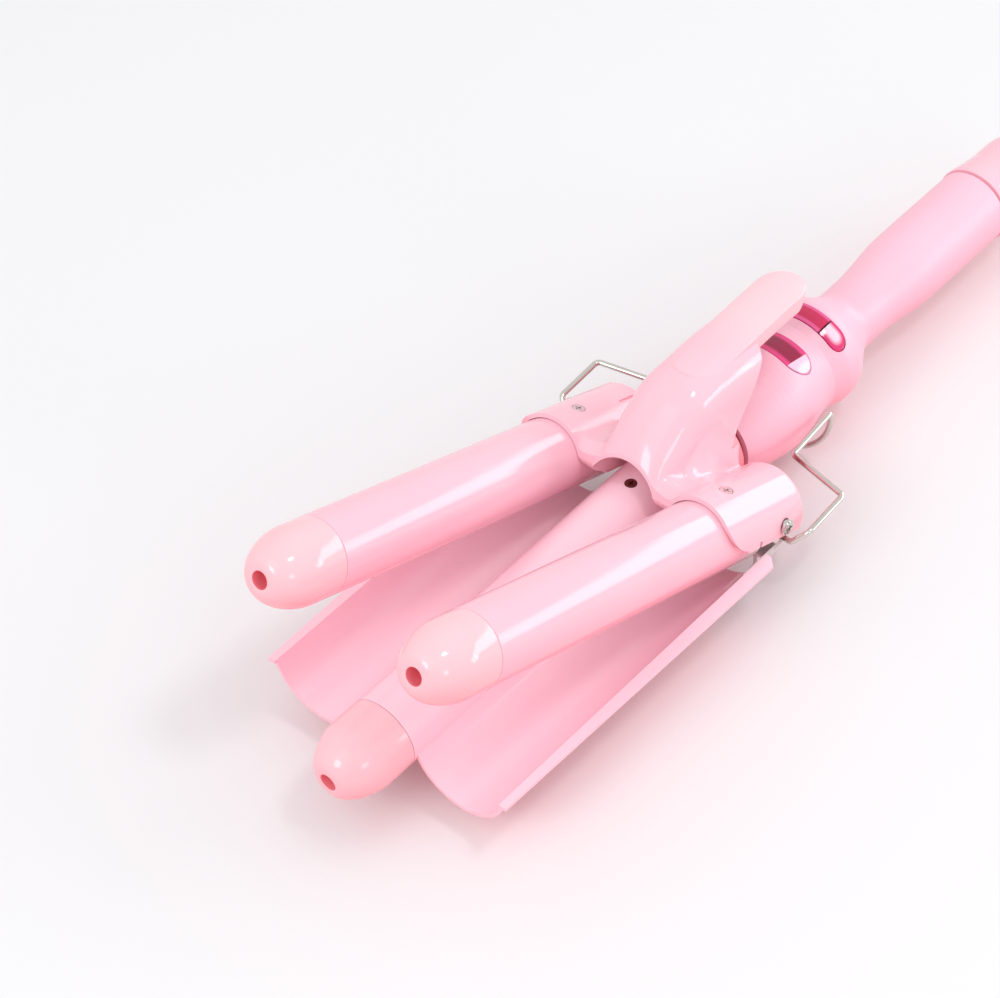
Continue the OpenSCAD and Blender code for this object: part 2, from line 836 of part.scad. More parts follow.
module clamp_cover() {
    color("lightpink") clamp_pose() difference() {
        union() {
            loft([for (s = concat(front_stations, mid_stations))
                at_x(s[0], mirrored(cover_half(s)))]);
            intersection() {
                loft([for (s = rear_stations) at_x(s[0], mirrored(dome_half(s, 0)))]);
                translate([-30, -neck_half, 0]) cube([30, 2 * neck_half, 2 * dome_h]);
            }
            socket_ends();
            both_sides()
                translate([5, barrel_pitch - socket_r, -4.2]) cube([19, cover_wall, 5]);
        }
        // room under the dome, for the middle barrel and for the neck
        translate([-cover_wall, 0, 0]) loft([
            for (s = concat(front_stations, mid_stations)) at_x(s[0], mirrored(
                concat([[barrel_r + 0.5, 0]], dome_half(s, cover_wall))))]);
        loft([for (s = concat([[-4, ridge_z(-4)]], rear_stations))
            at_x(s[0], mirrored(concat([[barrel_r + 0.5, 0]], dome_half(s, cover_wall))))]);
        along_x(-30, socket_front + 1) circle(barrel_r + 0.5);
        translate([-30, -barrel_r - 0.5, -8]) cube([socket_front + 31, barrel_d + 1, 8]);
        // sockets of the two barrels, open at the bottom
        both_sides() translate([0, barrel_pitch, 0]) {
            along_x(-socket_back + 2.6, socket_front + 1) circle(barrel_r + 0.2);
            translate([-socket_back + 2.6, -barrel_r - 0.2, -8])
                cube([socket_front + socket_back, barrel_d + 0.4, 8]);
            translate([screw_x, 0, 0]) cylinder(h = 20, r = screw_clear_r);
            translate([screw_x, 0, socket_r - 0.6]) cylinder(h = 4, r = screw_head_r + 0.1);
        }
        translate([0, 0, hinge_z]) both_sides() rod_y(barrel_pitch + bore_r, head_y + 5, shank_r + 0.5);
        rear_cut();
        side_cut(10, socket_out_y + 2);
        side_cut(web_z, barrel_pitch - 8);
        // pressed slot on the left socket, and a nick in the right one
        translate([0, -barrel_pitch, 0]) rotate([-17, 0, 0]) translate([-3.6, 0, socket_r])
            cube([9, 1, 1.4], center = true);
        translate([12.6, socket_out_y, 0]) cube([1.4, 4, 2.4], center = true);
    }
}

// Height of the dome's outer surface, and of the lever's two surfaces over it
function dome_top(x, y) =
    let (h = ridge_z(x), w = dome_half_w + max(0, 2 - x) * 0.06)
    h - 16 + 16 * (1 - clamp01(abs(y) / w) ^ dome_power) ^ (1 / dome_power);

lever_end_x = lever_w / 2 - lever_reach;
lever_front_x = 2.5;
lever_slope = 0.425;
rim_x = -16.4;

function lever_half_w(x) = lever_w / 2 * (
    x > lever_front_x ? sqrt(max(0.02, 1 - ((x - lever_front_x) / (lever_w / 2)) ^ 2)) :
    x < lever_end_x ? sqrt(max(0.02, 1 - ((x - lever_end_x) / (lever_w / 2)) ^ 2)) : 1);
function lever_line(x) = dome_h + lever_rise - lever_slope * x
    - 3.6 * clamp01((lever_end_x + 5 - x) / 13) ^ 2;
function lever_top(x, y) =
    let (
        crown = lever_line(x) - lever_crown * (abs(y) / (lever_w / 2)) ^ 2.4
    )
    x > rim_x ? max(dome_top(x, y) + 0.35, crown) : crown;
function lever_under(x, y) =
    let (
        w = lever_half_w(x),
        rise = 3 * clamp01((lever_end_x - x) / 8) ^ 2,
        edge = lever_line(x) - lever_crown - lever_side + rise,
        side = clamp01((abs(y) - w + 2.1) / 0.3)
    )
    x > rim_x ? dome_top(x, y) + fit : mix(lever_top(x, y) - 2.2, edge, side);

lever_xs = concat(
    [for (a = [75:-15:0]) lever_front_x + lever_w / 2 * sin(a)],
    [0, -3, -6, -9, -12, -14.5, rim_x + 0.02, rim_x - 0.02],
    [for (i = [1:4]) mix(rim_x, lever_end_x, i / 5)],
    [for (a = [0:15:75]) lever_end_x - lever_w / 2 * sin(a)]
);
lever_ys = [-1, -0.9, -0.78, -0.74, -0.55, -0.28, 0, 0.28, 0.55, 0.74, 0.78, 0.9, 1];

// Slab between two surfaces over the same grid of points
module slab(top, under) {
    n = len(top);
    m = len(top[0]);
    b = n * m;
    polyhedron(
        points = concat([for (r = top) each r], [for (r = under) each r]),
        faces = concat(
            [for (j = [0:n - 2], i = [0:m - 2]) let (p = j * m + i, q = p + m)
                each [[p, q, q + 1], [p, q + 1, p + 1],
                      [b + p, b + q + 1, b + q], [b + p, b + p + 1, b + q + 1]]],
            [for (j = [0:n - 2]) let (p = j * m, q = p + m)
                each [[p, b + q, q], [p, b + p, b + q]]],
            [for (j = [0:n - 2]) let (p = j * m + m - 1, q = p + m)
                each [[p, q, b + q], [p, b + q, b + p]]],
            [for (i = [0:m - 2]) each [[i, i + 1, b + i + 1], [i, b + i + 1, b + i]]],
            [for (i = [0:m - 2]) let (p = (n - 1) * m + i)
                each [[p, b + p + 1, p + 1], [p, b + p, b + p + 1]]]
        ),
        convexity = 6
    );
}

module thumb_lever() {
    color("mistyrose") clamp_pose() slab(
        [for (x = lever_xs) [for (v = lever_ys) let (y = v * lever_half_w(x))
            [x, y, lever_top(x, y)]]],
        [for (x = lever_xs) [for (v = lever_ys) let (y = v * lever_half_w(x))
            [x, y, lever_under(x, y)]]]
    );
}

module clamp_barrel(side) {
    color("lightpink") clamp_pose() translate([0, side * barrel_pitch, 0]) barrel_tube(tube_back);
}

module left_barrel() { clamp_barrel(-1); }
module right_barrel() { clamp_barrel(1); }

module clamp_cap(side) {
    color("mistyrose") clamp_pose() translate([0, side * barrel_pitch, 0]) end_plug_cap();
}

module left_cap() { clamp_cap(-1); }
module right_cap() { clamp_cap(1); }

wire_bore_r = 1.8;     // way of the heater's wires through the holder

// Core of a socket: it plugs into the barrel and turns on the hinge screw
module right_holder_solid() {
    difference() {
        union() {
            translate([0, barrel_pitch, 0]) {
                along_x(tube_back - 5, tube_back - 0.1) circle(barrel_r);
                along_x(tube_back - 1, tube_back + 20) circle(plug_r);
            }
            translate([0, 0, hinge_z]) rod_y(arm_in_y, arm_out_y, 3.9);
            translate([0, arm_in_y, hinge_z - 3.9])
                cube([tube_back - 3, arm_out_y - arm_in_y, 7.8]);
        }
        translate([0, barrel_pitch, 0]) along_x(-1, tube_back + 21) circle(wire_bore_r);
        translate([0, 0, hinge_z]) rod_y(arm_in_y - 1, arm_out_y + 1, shank_r + fit);
        translate([screw_x, barrel_pitch, 0]) cylinder(h = barrel_d, r = screw_shank_r);
    }
}

module right_holder() {
    color("whitesmoke") clamp_pose() right_holder_solid();
}

module left_holder() {
    color("whitesmoke") clamp_pose() mirror([0, 1, 0]) right_holder_solid();
}

module left_heater() {
    color("gainsboro") clamp_pose() translate([0, -barrel_pitch, 0]) heater_plate();
}

module right_heater() {
    color("gainsboro") clamp_pose() translate([0, barrel_pitch, 0]) heater_plate();
}

module left_heat_spreaders() {
    color("silver") clamp_pose() translate([0, -barrel_pitch, 0]) spreaders();
}

module right_heat_spreaders() {
    color("silver") clamp_pose() translate([0, barrel_pitch, 0]) spreaders();
}

module cover_screws() {
    color("silver") clamp_pose() both_sides() translate([screw_x, barrel_pitch, 0]) difference() {
        union() {
            translate([0, 0, socket_r - 0.6]) cylinder(h = 0.45, r = screw_head_r);
            translate([0, 0, 5.5]) cylinder(h = socket_r - 5.9, r = screw_shank_r);
        }
        cross_recess(socket_r - 0.15, 2.4, 0.5);
    }
}

// Torsion springs on the hinge screws, each one unbroken wire
spring_wire = 1.2;
spring_turns = 5;
spring_pitch = 1.7;
spring_r = 3.4;
spring_sides = 6;
spring_rings = 8 * spring_turns;

function spring_point(i) =
    let (a = 360 * i / 8)
    [spring_r * cos(a), spring_y - 0.8 - spring_pitch * i / 8, spring_r * sin(a)];
spring_path = [for (i = [0:spring_rings]) spring_point(i)];

function ring_at(p, dir, r) =
    let (
        side = [0, 1, 0] - dir * (dir * [0, 1, 0]),
        u = side / norm(side),
        v = cross(dir, u)
    )
    [for (k = [0:spring_sides - 1]) let (a = 360 * k / spring_sides)
        p + r * (cos(a) * u + sin(a) * v)];

module return_springs() {
    n = len(spring_path);
    color("silver") clamp_pose() translate([0, 0, hinge_z]) both_sides()
        loft([for (i = [0:n - 1])
            let (
                d = spring_path[min(i + 1, n - 1)] - spring_path[max(i - 1, 0)],
                dir = d / norm(d)
            )
            ring_at(spring_path[i], dir, spring_wire / 2)]);
}

spring_gap = min([for (i = [0:spring_rings - 8])
    norm(spring_path[i] - spring_path[i + 8]) - spring_wire]);
echo(spring_least_gap = spring_gap);

// ------------------------------------------------------------------- stand

lap = 0.04;            // overlap of a straight stretch with the bend beside it

function unit(v) = v / norm(v);

// Places children drawn along +Z from the origin onto the line from a to b
module on_line(a, b) {
    d = unit(b - a);
    translate(a) rotate([0, acos(d.z), atan2(d.y, d.x)]) children();
}

// Bent corner of the wire: a piece of a ring between two straight stretches
module wire_bend(before, corner, after, bend) {
    a = unit(corner - before);
    b = unit(after - corner);
    turn = acos(a * b);
    t = bend * tan(turn / 2);
    n = unit(cross(a, b));
    inward = cross(n, a);
    centre = corner - a * t + inward * bend;
    multmatrix([
        [-inward.x, a.x, n.x, centre.x],
        [-inward.y, a.y, n.y, centre.y],
        [-inward.z, a.z, n.z, centre.z],
        [0, 0, 0, 1]
    ])
        rotate_extrude(angle = turn, $fn = 96) translate([bend, 0]) circle(wire_r);
}

// Wire through a list of points, with every inner corner bent
module bent_wire(points, bends) {
    n = len(points);
    for (i = [0:n - 2]) {
        cut_a = i == 0 ? 0 : bend_cut(points, bends, i);
        cut_b = i == n - 2 ? 0 : bend_cut(points, bends, i + 1);
        dir = unit(points[i + 1] - points[i]);
        a = points[i] + dir * (cut_a - lap);
        b = points[i + 1] - dir * (cut_b - lap);
        on_line(a, b) cylinder(h = norm(b - a), r = wire_r - lap / 2);
    }
    for (i = [1:n - 2])
        wire_bend(points[i - 1], points[i], points[i + 1], bends[i - 1]);
}

function bend_cut(points, bends, i) =
    bends[i - 1] * tan(acos(unit(points[i] - points[i - 1])
        * unit(points[i + 1] - points[i])) / 2);

// Right half of the wire: its end turns in the bracket's ear, passes under the
// socket, runs back beside the neck and comes inward to the bow
stand_path = [
    [0, ear_in_y - 1.2, pivot_z],
    [0, socket_out_y + 2.2, pivot_z],
    [-3.4, socket_out_y + 6.3, 1.2],
    [-21.4, socket_out_y + 6.1, 3],
    [-27, bow_r + 2, 2.2],
    [-bow_back, bow_r, bow_z + 1.8],
    [-bow_back, bow_r, bow_z]
];
stand_bends = [1.6, 2, 2, 2, 1.7];

module wire_stand() {
    color("gainsboro") placed() {
        both_sides() bent_wire(stand_path, stand_bends);
        translate([-bow_back, 0, bow_z]) rotate([90, 0, 90])
            rotate([0, 0, 180]) rotate_extrude(angle = 180, $fn = 96)
                translate([bow_r, 0]) circle(wire_r);
    }
}

lower_jaw();
lower_cap();
lower_barrel_core();
lower_heater();
lower_heat_spreaders();
lower_barrel_screw();
hinge_bracket();
hinge_screws();
neck_collar();
upper_shell();
lower_shell();
shell_screws();
display_lens();
display_panel();
display_holder();
circuit_board();
key_carrier();
key_switches();
middle_key();
left_key();
right_key();
end_cap();
cord_inlet();
clamp_cover();
thumb_lever();
left_barrel();
right_barrel();
left_cap();
right_cap();
left_holder();
right_holder();
left_heater();
right_heater();
left_heat_spreaders();
right_heat_spreaders();
cover_screws();
return_springs();
wire_stand();
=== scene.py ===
"""Three-barrel hair waver in glossy pink, its clamp open and its wire stand folded back."""
import math

import bmesh
import bpy
from mathutils import Matrix, Vector


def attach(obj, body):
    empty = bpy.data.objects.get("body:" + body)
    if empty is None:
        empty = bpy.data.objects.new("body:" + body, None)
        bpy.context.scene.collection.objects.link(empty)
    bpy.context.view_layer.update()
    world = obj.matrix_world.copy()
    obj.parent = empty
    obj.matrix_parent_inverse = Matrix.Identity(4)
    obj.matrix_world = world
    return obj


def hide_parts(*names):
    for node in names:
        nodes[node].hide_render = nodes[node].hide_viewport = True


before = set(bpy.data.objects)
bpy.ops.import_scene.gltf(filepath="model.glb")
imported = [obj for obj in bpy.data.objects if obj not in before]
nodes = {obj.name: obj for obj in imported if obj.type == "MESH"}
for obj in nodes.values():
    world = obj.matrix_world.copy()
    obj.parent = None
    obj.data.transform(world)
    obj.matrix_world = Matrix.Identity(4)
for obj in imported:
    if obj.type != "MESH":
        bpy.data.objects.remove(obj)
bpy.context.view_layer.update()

# ------------------------------------------------------------------ camera
# The eye stands in front of the tips, to the right and well above, and looks
# down along the tool; the lens is long, so the barrels stay nearly parallel.
eye = Vector((0.60166, 0.46715, 0.77671))
aim = Vector((0.04345, -0.05239, 0))
roll = math.radians(-3.383)


def added(name, data):
    """A new object in the scene."""
    thing = bpy.data.objects.new(name, data)
    bpy.context.scene.collection.objects.link(thing)
    return thing


camera_data = bpy.data.cameras.new("camera")
camera_data.lens = 119.88
camera_data.sensor_width = 36
camera_data.clip_start = 0.05
camera_data.clip_end = 20
camera = added("camera", camera_data)
look = (aim - eye).to_track_quat("-Z", "Y").to_matrix() @ Matrix.Rotation(roll, 3, "Z")
camera.matrix_world = Matrix.Translation(eye) @ look.to_4x4()
bpy.context.scene.camera = camera

# ------------------------------------------------------------ floor and light
# A pale tabletop under an even white tent, with a long box behind the handle,
# a lamp overhead, a box and a broad, weak one before the tips, and two small
# ones at the right side. What the tabletop throws back is tinted pink.
MM = 0.001
hinge_x = 16.9
axis_z = 24.6
hinge_rise = 2.8
hinge_spot = Vector((hinge_x, 0, axis_z + hinge_rise)) * MM
floor_size = 6
table_tone = (232, 232, 234)
bounce_tone = (250, 158, 168)


def colour(red, green, blue):
    """Linear colour of an 8-bit one, as a paint chip is read."""
    linear = [c / 12.92 if c <= 0.04045 else ((c + 0.055) / 1.055) ** 2.4
              for c in (red / 255, green / 255, blue / 255)]
    return (*linear, 1)


def new_material(name, **sockets):
    """A material with its Principled shader's plain sockets set by name."""
    material = bpy.data.materials.new(name)
    material.use_nodes = True
    shader = material.node_tree.nodes["Principled BSDF"]
    for socket, value in sockets.items():
        shader.inputs[socket.replace("_", " ")].default_value = value
    return material, material.node_tree, shader


def feed(tree, socket, value):
    """Gives a socket a plain value or another node's result."""
    if isinstance(value, bpy.types.NodeSocket):
        tree.links.new(value, socket)
    else:
        socket.default_value = value


def worked(tree, operation, *values):
    """Result of a math node that takes numbers and other nodes' results."""
    node = tree.nodes.new("ShaderNodeMath")
    node.operation = operation
    for socket, value in zip(node.inputs, values):
        feed(tree, socket, value)
    return node.outputs["Value"]


def blended(tree, factor, first, second):
    """Colour that goes from a first to a second one as a factor goes from 0 to 1."""
    node = tree.nodes.new("ShaderNodeMix")
    node.data_type = "RGBA"
    feed(tree, node.inputs["Factor"], factor)
    for socket, tone in ((node.inputs["A"], first), (node.inputs["B"], second)):
        feed(tree, socket, colour(*tone) if isinstance(tone, tuple) else tone)
    return node.outputs["Result"]


def softbox(name, direction, wide, high, power, reach=1.6):
    """An area lamp that faces the hinge from a direction, so many metres off."""
    data = bpy.data.lights.new(name, "AREA")
    data.shape = "RECTANGLE"
    data.size = wide
    data.size_y = high
    data.energy = power
    away = Vector(direction).normalized()
    added(name, data).matrix_world = (Matrix.Translation(hinge_spot + away * reach)
                                      @ away.to_track_quat("Z", "Y").to_matrix().to_4x4())


softbox("box_behind", (-0.89, 0.41, 0.24), 1.7, 0.42, 9)
softbox("lamp_above", (-0.08, 0.38, 0.91), 0.26, 0.26, 3.2)
softbox("box_front", (0.79, -0.05, 0.57), 0.5, 0.5, 4)
softbox("box_right", (-0.54, 0.83, 0.16), 0.36, 0.34, 1.7)
softbox("box_corner", (0.3, 0.85, 0.36), 0.3, 0.36, 1.3)
softbox("broad_front", (0.66, 0, 0.75), 1.6, 1.6, 6, reach=2.2)

world = bpy.data.worlds.new("tent")
bpy.context.scene.world = world
world.use_nodes = True
tent = world.node_tree.nodes["Background"]
tent.inputs["Color"].default_value = (1, 1, 1, 1)
tent.inputs["Strength"].default_value = 0.82

floor_mesh = bpy.data.meshes.new("tabletop")
sheet = bmesh.new()
bmesh.ops.create_grid(sheet, x_segments=1, y_segments=1, size=floor_size / 2)
sheet.to_mesh(floor_mesh)
sheet.free()
tabletop = added("tabletop", floor_mesh)
floor_paint, floor_tree, floor_shader = new_material("tabletop_white", Roughness=0.7)
rays = floor_tree.nodes.new("ShaderNodeLightPath")
seen = worked(floor_tree, "MAXIMUM", rays.outputs["Is Camera Ray"], rays.outputs["Is Glossy Ray"])
feed(floor_tree, floor_shader.inputs["Base Color"], blended(floor_tree, seen, bounce_tone, table_tone))
floor_mesh.materials.append(floor_paint)
bpy.context.scene.view_settings.view_transform = "Standard"


# ------------------------------------------------- lower jaw and its finish
# The middle barrel and the two troughs are one pressed and welded part, coated
# with the same glossy enamel as the upper barrels; its colour is painted a shade
# paler as painted light, to offset the shade that falls in the troughs.
def new_group(name, inputs, outputs):
    """Shader node group with its named sockets, and its two end nodes."""
    group = bpy.data.node_groups.new(name, "ShaderNodeTree")
    for label, kind in inputs.items():
        group.interface.new_socket(label, in_out="INPUT", socket_type="NodeSocket" + kind)
    for label in outputs:
        group.interface.new_socket(label, in_out="OUTPUT", socket_type="NodeSocketFloat")
    return group, group.nodes.new("NodeGroupInput"), group.nodes.new("NodeGroupOutput")


def skin_group():
    """Fine ripple and slight clouding of a moulded, enamelled or drawn skin."""
    sizes = {"Ripple size": "Float", "Cloud size": "Float", "Clouding": "Float"}
    group, given, out = new_group("skin_ripple", sizes, ("Ripple", "Cloud"))
    link = group.links.new
    place = group.nodes.new("ShaderNodeTexCoord")
    noises = []
    for size, detail in (("Ripple size", 2), ("Cloud size", 3)):
        noise = group.nodes.new("ShaderNodeTexNoise")
        noise.inputs["Detail"].default_value = detail
        link(place.outputs["Object"], noise.inputs["Vector"])
        link(given.outputs[size], noise.inputs["Scale"])
        noises.append(noise.outputs["Fac"])
    ripple, cloud = noises
    centred = worked(group, "SUBTRACT", cloud, 0.5)
    link(ripple, out.inputs["Ripple"])
    link(worked(group, "MULTIPLY_ADD", centred, given.outputs["Clouding"], 0.5), out.inputs["Cloud"])
    return group


skin_ripple = skin_group()


def dress(name, light, dark, gloss=0.2, ripple=900, depth=0.02, **sockets):
    """A moulded or painted finish: two close tones, a fine ripple and slightly uneven gloss."""
    cloud_size = 60
    clouding = 1
    uneven = 0.05
    material, tree, shader = new_material(name, **sockets)
    skin = tree.nodes.new("ShaderNodeGroup")
    skin.node_tree = skin_ripple
    skin.inputs["Ripple size"].default_value = ripple
    skin.inputs["Cloud size"].default_value = cloud_size
    skin.inputs["Clouding"].default_value = clouding
    polish = tree.nodes.new("ShaderNodeMapRange")
    polish.inputs["To Min"].default_value = gloss - uneven
    polish.inputs["To Max"].default_value = gloss + uneven
    bump = tree.nodes.new("ShaderNodeBump")
    bump.inputs["Strength"].default_value = 0.5
    bump.inputs["Distance"].default_value = depth * MM
    link = tree.links.new
    link(blended(tree, skin.outputs["Cloud"], dark, light), shader.inputs["Base Color"])
    link(skin.outputs["Cloud"], polish.inputs["Value"])
    link(polish.outputs["Result"], shader.inputs["Roughness"])
    link(skin.outputs["Ripple"], bump.inputs["Height"])
    link(bump.outputs["Normal"], shader.inputs["Normal"])
    return material


def paint(material, *names):
    """Puts a finish on CAD nodes that keep their shape."""
    for name in names:
        slots = nodes[name].data.materials
        slots.clear()
        slots.append(material)


enamel = dress("barrel_enamel", (250, 195, 209), (248, 190, 205), gloss=0.13)
# Painted light: the jaw's enamel is painted paler than the barrels' to offset the shade in its troughs.
jaw_enamel_painted_paler = dress("jaw_enamel_painted_paler", (255, 212, 225), (254, 207, 221), gloss=0.16)
paint(jaw_enamel_painted_paler, "lower_jaw")


# ---------------------------------------------------------- the three caps
# Cool tips of heat-proof plastic: a bullet-shaped dome with a round hole in
# its flat end, pushed into the barrel until a hairline seam is left. The inside
# of the hole is painted a deeper pink as painted shade.
barrel_r = 12.5
bore_r = 11.1
barrel_reach = 139.6
barrel_pitch = 29.5
broken_edge = 0.22
tip_x = 164
dome_l = 15.5
dome_steps = 32
flat_r = 3.6
hole_r = 2.9
hole_l = 6
plug_r = bore_r - 0.05
plug_l = 8
seam = 0.14
clamp_open = 21
seat = Matrix.Translation((hinge_x, 0, axis_z))
clamp_seat = (seat @ Matrix.Translation((0, 0, hinge_rise))
              @ Matrix.Rotation(math.radians(-clamp_open), 4, "Y")
              @ Matrix.Translation((0, 0, -hinge_rise)))
left_place = clamp_seat @ Matrix.Translation((0, -barrel_pitch, 0))
right_place = clamp_seat @ Matrix.Translation((0, barrel_pitch, 0))


def eased(corners, closed=False):
    """Outline whose corners (x, y, ease) are rounded over the given length."""
    steps = 5
    line = []
    count = len(corners)
    for i, (x, y, ease) in enumerate(corners):
        if ease == 0 or (not closed and i in (0, count - 1)):
            line.append((x, y))
            continue
        here = Vector((x, y))
        back = (Vector(corners[i - 1][:2]) - here).normalized() * ease
        on = (Vector(corners[(i + 1) % count][:2]) - here).normalized() * ease
        for k in range(steps + 1):
            t = k / steps
            line.append(tuple(here + back * (1 - t) ** 2 + on * t ** 2))
    return line


def ring_points(y, z, r, sides):
    """Points of a circle about a place."""
    return [(y + r * math.cos(math.tau * k / sides), z + r * math.sin(math.tau * k / sides))
            for k in range(sides)]


def turned(outline, closed=False):
    """Mesh turned about the X axis from points (x, radius)."""
    sides = 144
    work = bmesh.new()
    rings = []
    for x, r in outline:
        spots = ring_points(0, 0, r, sides) if r > 0 else [(0, 0)]
        rings.append([work.verts.new((x, y, z)) for y, z in spots])
    pairs = list(zip(rings, rings[1:]))
    if closed:
        pairs.append((rings[-1], rings[0]))
    for a, b in pairs:
        for k in range(sides):
            n = (k + 1) % sides
            if len(a) == 1:
                work.faces.new((a[0], b[k], b[n]))
            elif len(b) == 1:
                work.faces.new((a[k], b[0], a[n]))
            else:
                work.faces.new((a[k], b[k], b[n], a[n]))
    return work


def piece_from(work, name, place, material, crease=35):
    """Turns a work mesh in millimetres into a placed, smooth piece."""
    bmesh.ops.recalc_face_normals(work, faces=work.faces)
    work.transform(Matrix.Scale(MM, 4) @ place)
    mesh = bpy.data.meshes.new(name)
    work.to_mesh(mesh)
    work.free()
    for polygon in mesh.polygons:
        polygon.use_smooth = True
    mesh.set_sharp_from_angle(angle=math.radians(crease))
    mesh.materials.append(material)
    return added(name, mesh)


cap_gloss = dress("cap_plastic", (251, 199, 207), (249, 195, 203), gloss=0.12)
# Painted shade: the same plastic, darker inside the hole.
hole_shade_pink = dress("cap_hole_painted_shade", (246, 146, 158), (240, 128, 142), gloss=0.3)
cap_outline = eased([
    (barrel_reach - plug_l, 0, 0), (barrel_reach - plug_l, plug_r, 0.4), (barrel_reach + seam, plug_r, 0.05),
    (barrel_reach + seam, barrel_r, broken_edge), (tip_x - dome_l, barrel_r, 0)])
for step in range(1, dome_steps + 1):
    bend = math.pi / 2 * step / dome_steps
    rim = flat_r * math.sin(bend)
    cap_outline.append((tip_x - dome_l + dome_l * math.sin(bend), rim + (barrel_r - rim) * math.cos(bend)))
cap_outline += eased([(tip_x, flat_r, 0), (tip_x, hole_r, 0.35), (tip_x - hole_l, hole_r, 0.2),
                      (tip_x - hole_l, 0, 0)])[1:]
for name, body, place in (("lower_cap", "handle", seat), ("left_cap", "clamp", left_place),
                          ("right_cap", "clamp", right_place)):
    cap = piece_from(turned(cap_outline), "turned_" + name, place, cap_gloss)
    cap.data.materials.append(hole_shade_pink)
    seated = (Matrix.Scale(MM, 4) @ place).inverted()
    for face in cap.data.polygons:
        spot = seated @ face.center
        if spot.x > tip_x - hole_l - 0.1 and math.hypot(spot.y, spot.z) < hole_r + 0.02:
            face.material_index = 1
    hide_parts(name)
    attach(cap, body)

# --------------------------------------------------- the two upper barrels
# Drawn tubes with the same enamel as the jaw. Their front edges are broken,
# so a thin dark line shows where the cap begins.
tube_back = 14
tube_outline = eased([
    (tube_back, barrel_r, 0.2), (barrel_reach, barrel_r, broken_edge), (barrel_reach, bore_r, 0.15),
    (tube_back, bore_r, 0.15)], closed=True)
for name, place in (("left_barrel", left_place), ("right_barrel", right_place)):
    tube = piece_from(turned(tube_outline, closed=True), "drawn_" + name, place, enamel)
    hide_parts(name)
    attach(tube, "clamp")

# ----------------------------------------- screw, bracket, hinge and collar
# A darkened countersunk screw holds the core in the lower barrel. The pressed
# bracket and the two bright hinge screws carry the clamp.
dark_steel = dress("dark_screw_steel", (150, 104, 96), (110, 72, 66), gloss=0.3, Metallic=1.0)
paint(dark_steel, "lower_barrel_screw")
steel = dress("bracket_steel", (232, 226, 226), (212, 206, 207), gloss=0.3, Metallic=0.6)
paint(steel, "hinge_bracket")
chrome = dress("screw_chrome", (226, 222, 218), (206, 203, 200), gloss=0.12, Metallic=1.0)
paint(chrome, "hinge_screws")


def object_axes(tree):
    """Separate X, Y and Z of the place on a piece."""
    axes = tree.nodes.new("ShaderNodeSeparateXYZ")
    tree.links.new(tree.nodes.new("ShaderNodeTexCoord").outputs["Object"], axes.inputs["Vector"])
    return axes.outputs


def tint(material, measure, low, high, inner):
    """Another colour where a measure is under low, going over to the finish's own at high."""
    tree = material.node_tree
    base = tree.nodes["Principled BSDF"].inputs["Base Color"]
    own = base.links[0].from_socket
    soft = tree.nodes.new("ShaderNodeMapRange")
    soft.inputs["From Min"].default_value = low
    soft.inputs["From Max"].default_value = high
    tree.links.new(measure, soft.inputs["Value"])
    tree.links.new(blended(tree, soft.outputs["Result"], inner, own), base)


# The collar is moulded in a deeper pink, and painted shade makes its two grooves darker still.
collar = dress("collar_plastic", (252, 158, 172), (248, 148, 163), gloss=0.25)
groove_shade_half = 0.9
groove_shade_blur = 0.25
along = object_axes(collar.node_tree)["X"]
for groove_x in (hinge_x - 12.4, hinge_x - 17.7):
    off = worked(collar.node_tree, "SUBTRACT", along, groove_x * MM)
    off = worked(collar.node_tree, "ABSOLUTE", off)
    # Painted shade: each groove is painted a dark red, fading out over a short blur.
    tint(collar, off, groove_shade_half * MM, (groove_shade_half + groove_shade_blur) * MM, (170, 62, 84))
paint(collar, "neck_collar")

# ------------------------------------------------------------ handle shells
# Two satin halves, closed round the board by three screws from below. Their
# rear end is covered by a glossy cap, moulded like the clamp's cover.
satin = dress("handle_satin", (250, 196, 213), (248, 190, 209), gloss=0.4, ripple=1800, depth=0.03)
paint(satin, "upper_shell", "lower_shell")
cover_gloss = dress("cover_gloss", (250, 197, 210), (248, 192, 206), gloss=0.1)
paint(cover_gloss, "end_cap")

# ------------------------------------------------------- display and keys
# The window is printed on its back: dark magenta before the panel, a brighter
# band along its long sides and pale ends. The keys are clear caps over colour;
# the side keys' pale middle is a painted highlight.
window_centre = (hinge_x - 50.6, 0, 0)
window_straight = 8.6
window_end_r = 5.3
panel_half = 9.4
key_centre = (hinge_x - 68, 0, 0)
key_straight = 11.8
key_end_r = 3.3
endless = 40


def obround_group():
    """Distance from the middle line of an obround, as a share of its end radius."""
    sizes = {"Centre": "Vector", "Straight": "Float", "End radius": "Float"}
    group, given, out = new_group("obround_rim", sizes, ("Ratio", "Across"))
    link = group.links.new
    place = group.nodes.new("ShaderNodeTexCoord")
    from_centre = group.nodes.new("ShaderNodeVectorMath")
    from_centre.operation = "SUBTRACT"
    size = group.nodes.new("ShaderNodeVectorMath")
    size.operation = "ABSOLUTE"
    parts = group.nodes.new("ShaderNodeSeparateXYZ")
    pair = group.nodes.new("ShaderNodeCombineXYZ")
    length = group.nodes.new("ShaderNodeVectorMath")
    length.operation = "LENGTH"
    link(place.outputs["Object"], from_centre.inputs[0])
    link(given.outputs["Centre"], from_centre.inputs[1])
    link(from_centre.outputs[0], size.inputs[0])
    link(size.outputs[0], parts.inputs[0])
    beyond = worked(group, "SUBTRACT", parts.outputs["Y"], given.outputs["Straight"])
    link(parts.outputs["X"], pair.inputs["X"])
    link(worked(group, "MAXIMUM", beyond, 0), pair.inputs["Y"])
    link(pair.outputs[0], length.inputs[0])
    ratio = worked(group, "DIVIDE", length.outputs["Value"], given.outputs["End radius"])
    link(ratio, out.inputs["Ratio"])
    link(parts.outputs["Y"], out.inputs["Across"])
    return group


obround_rim = obround_group()


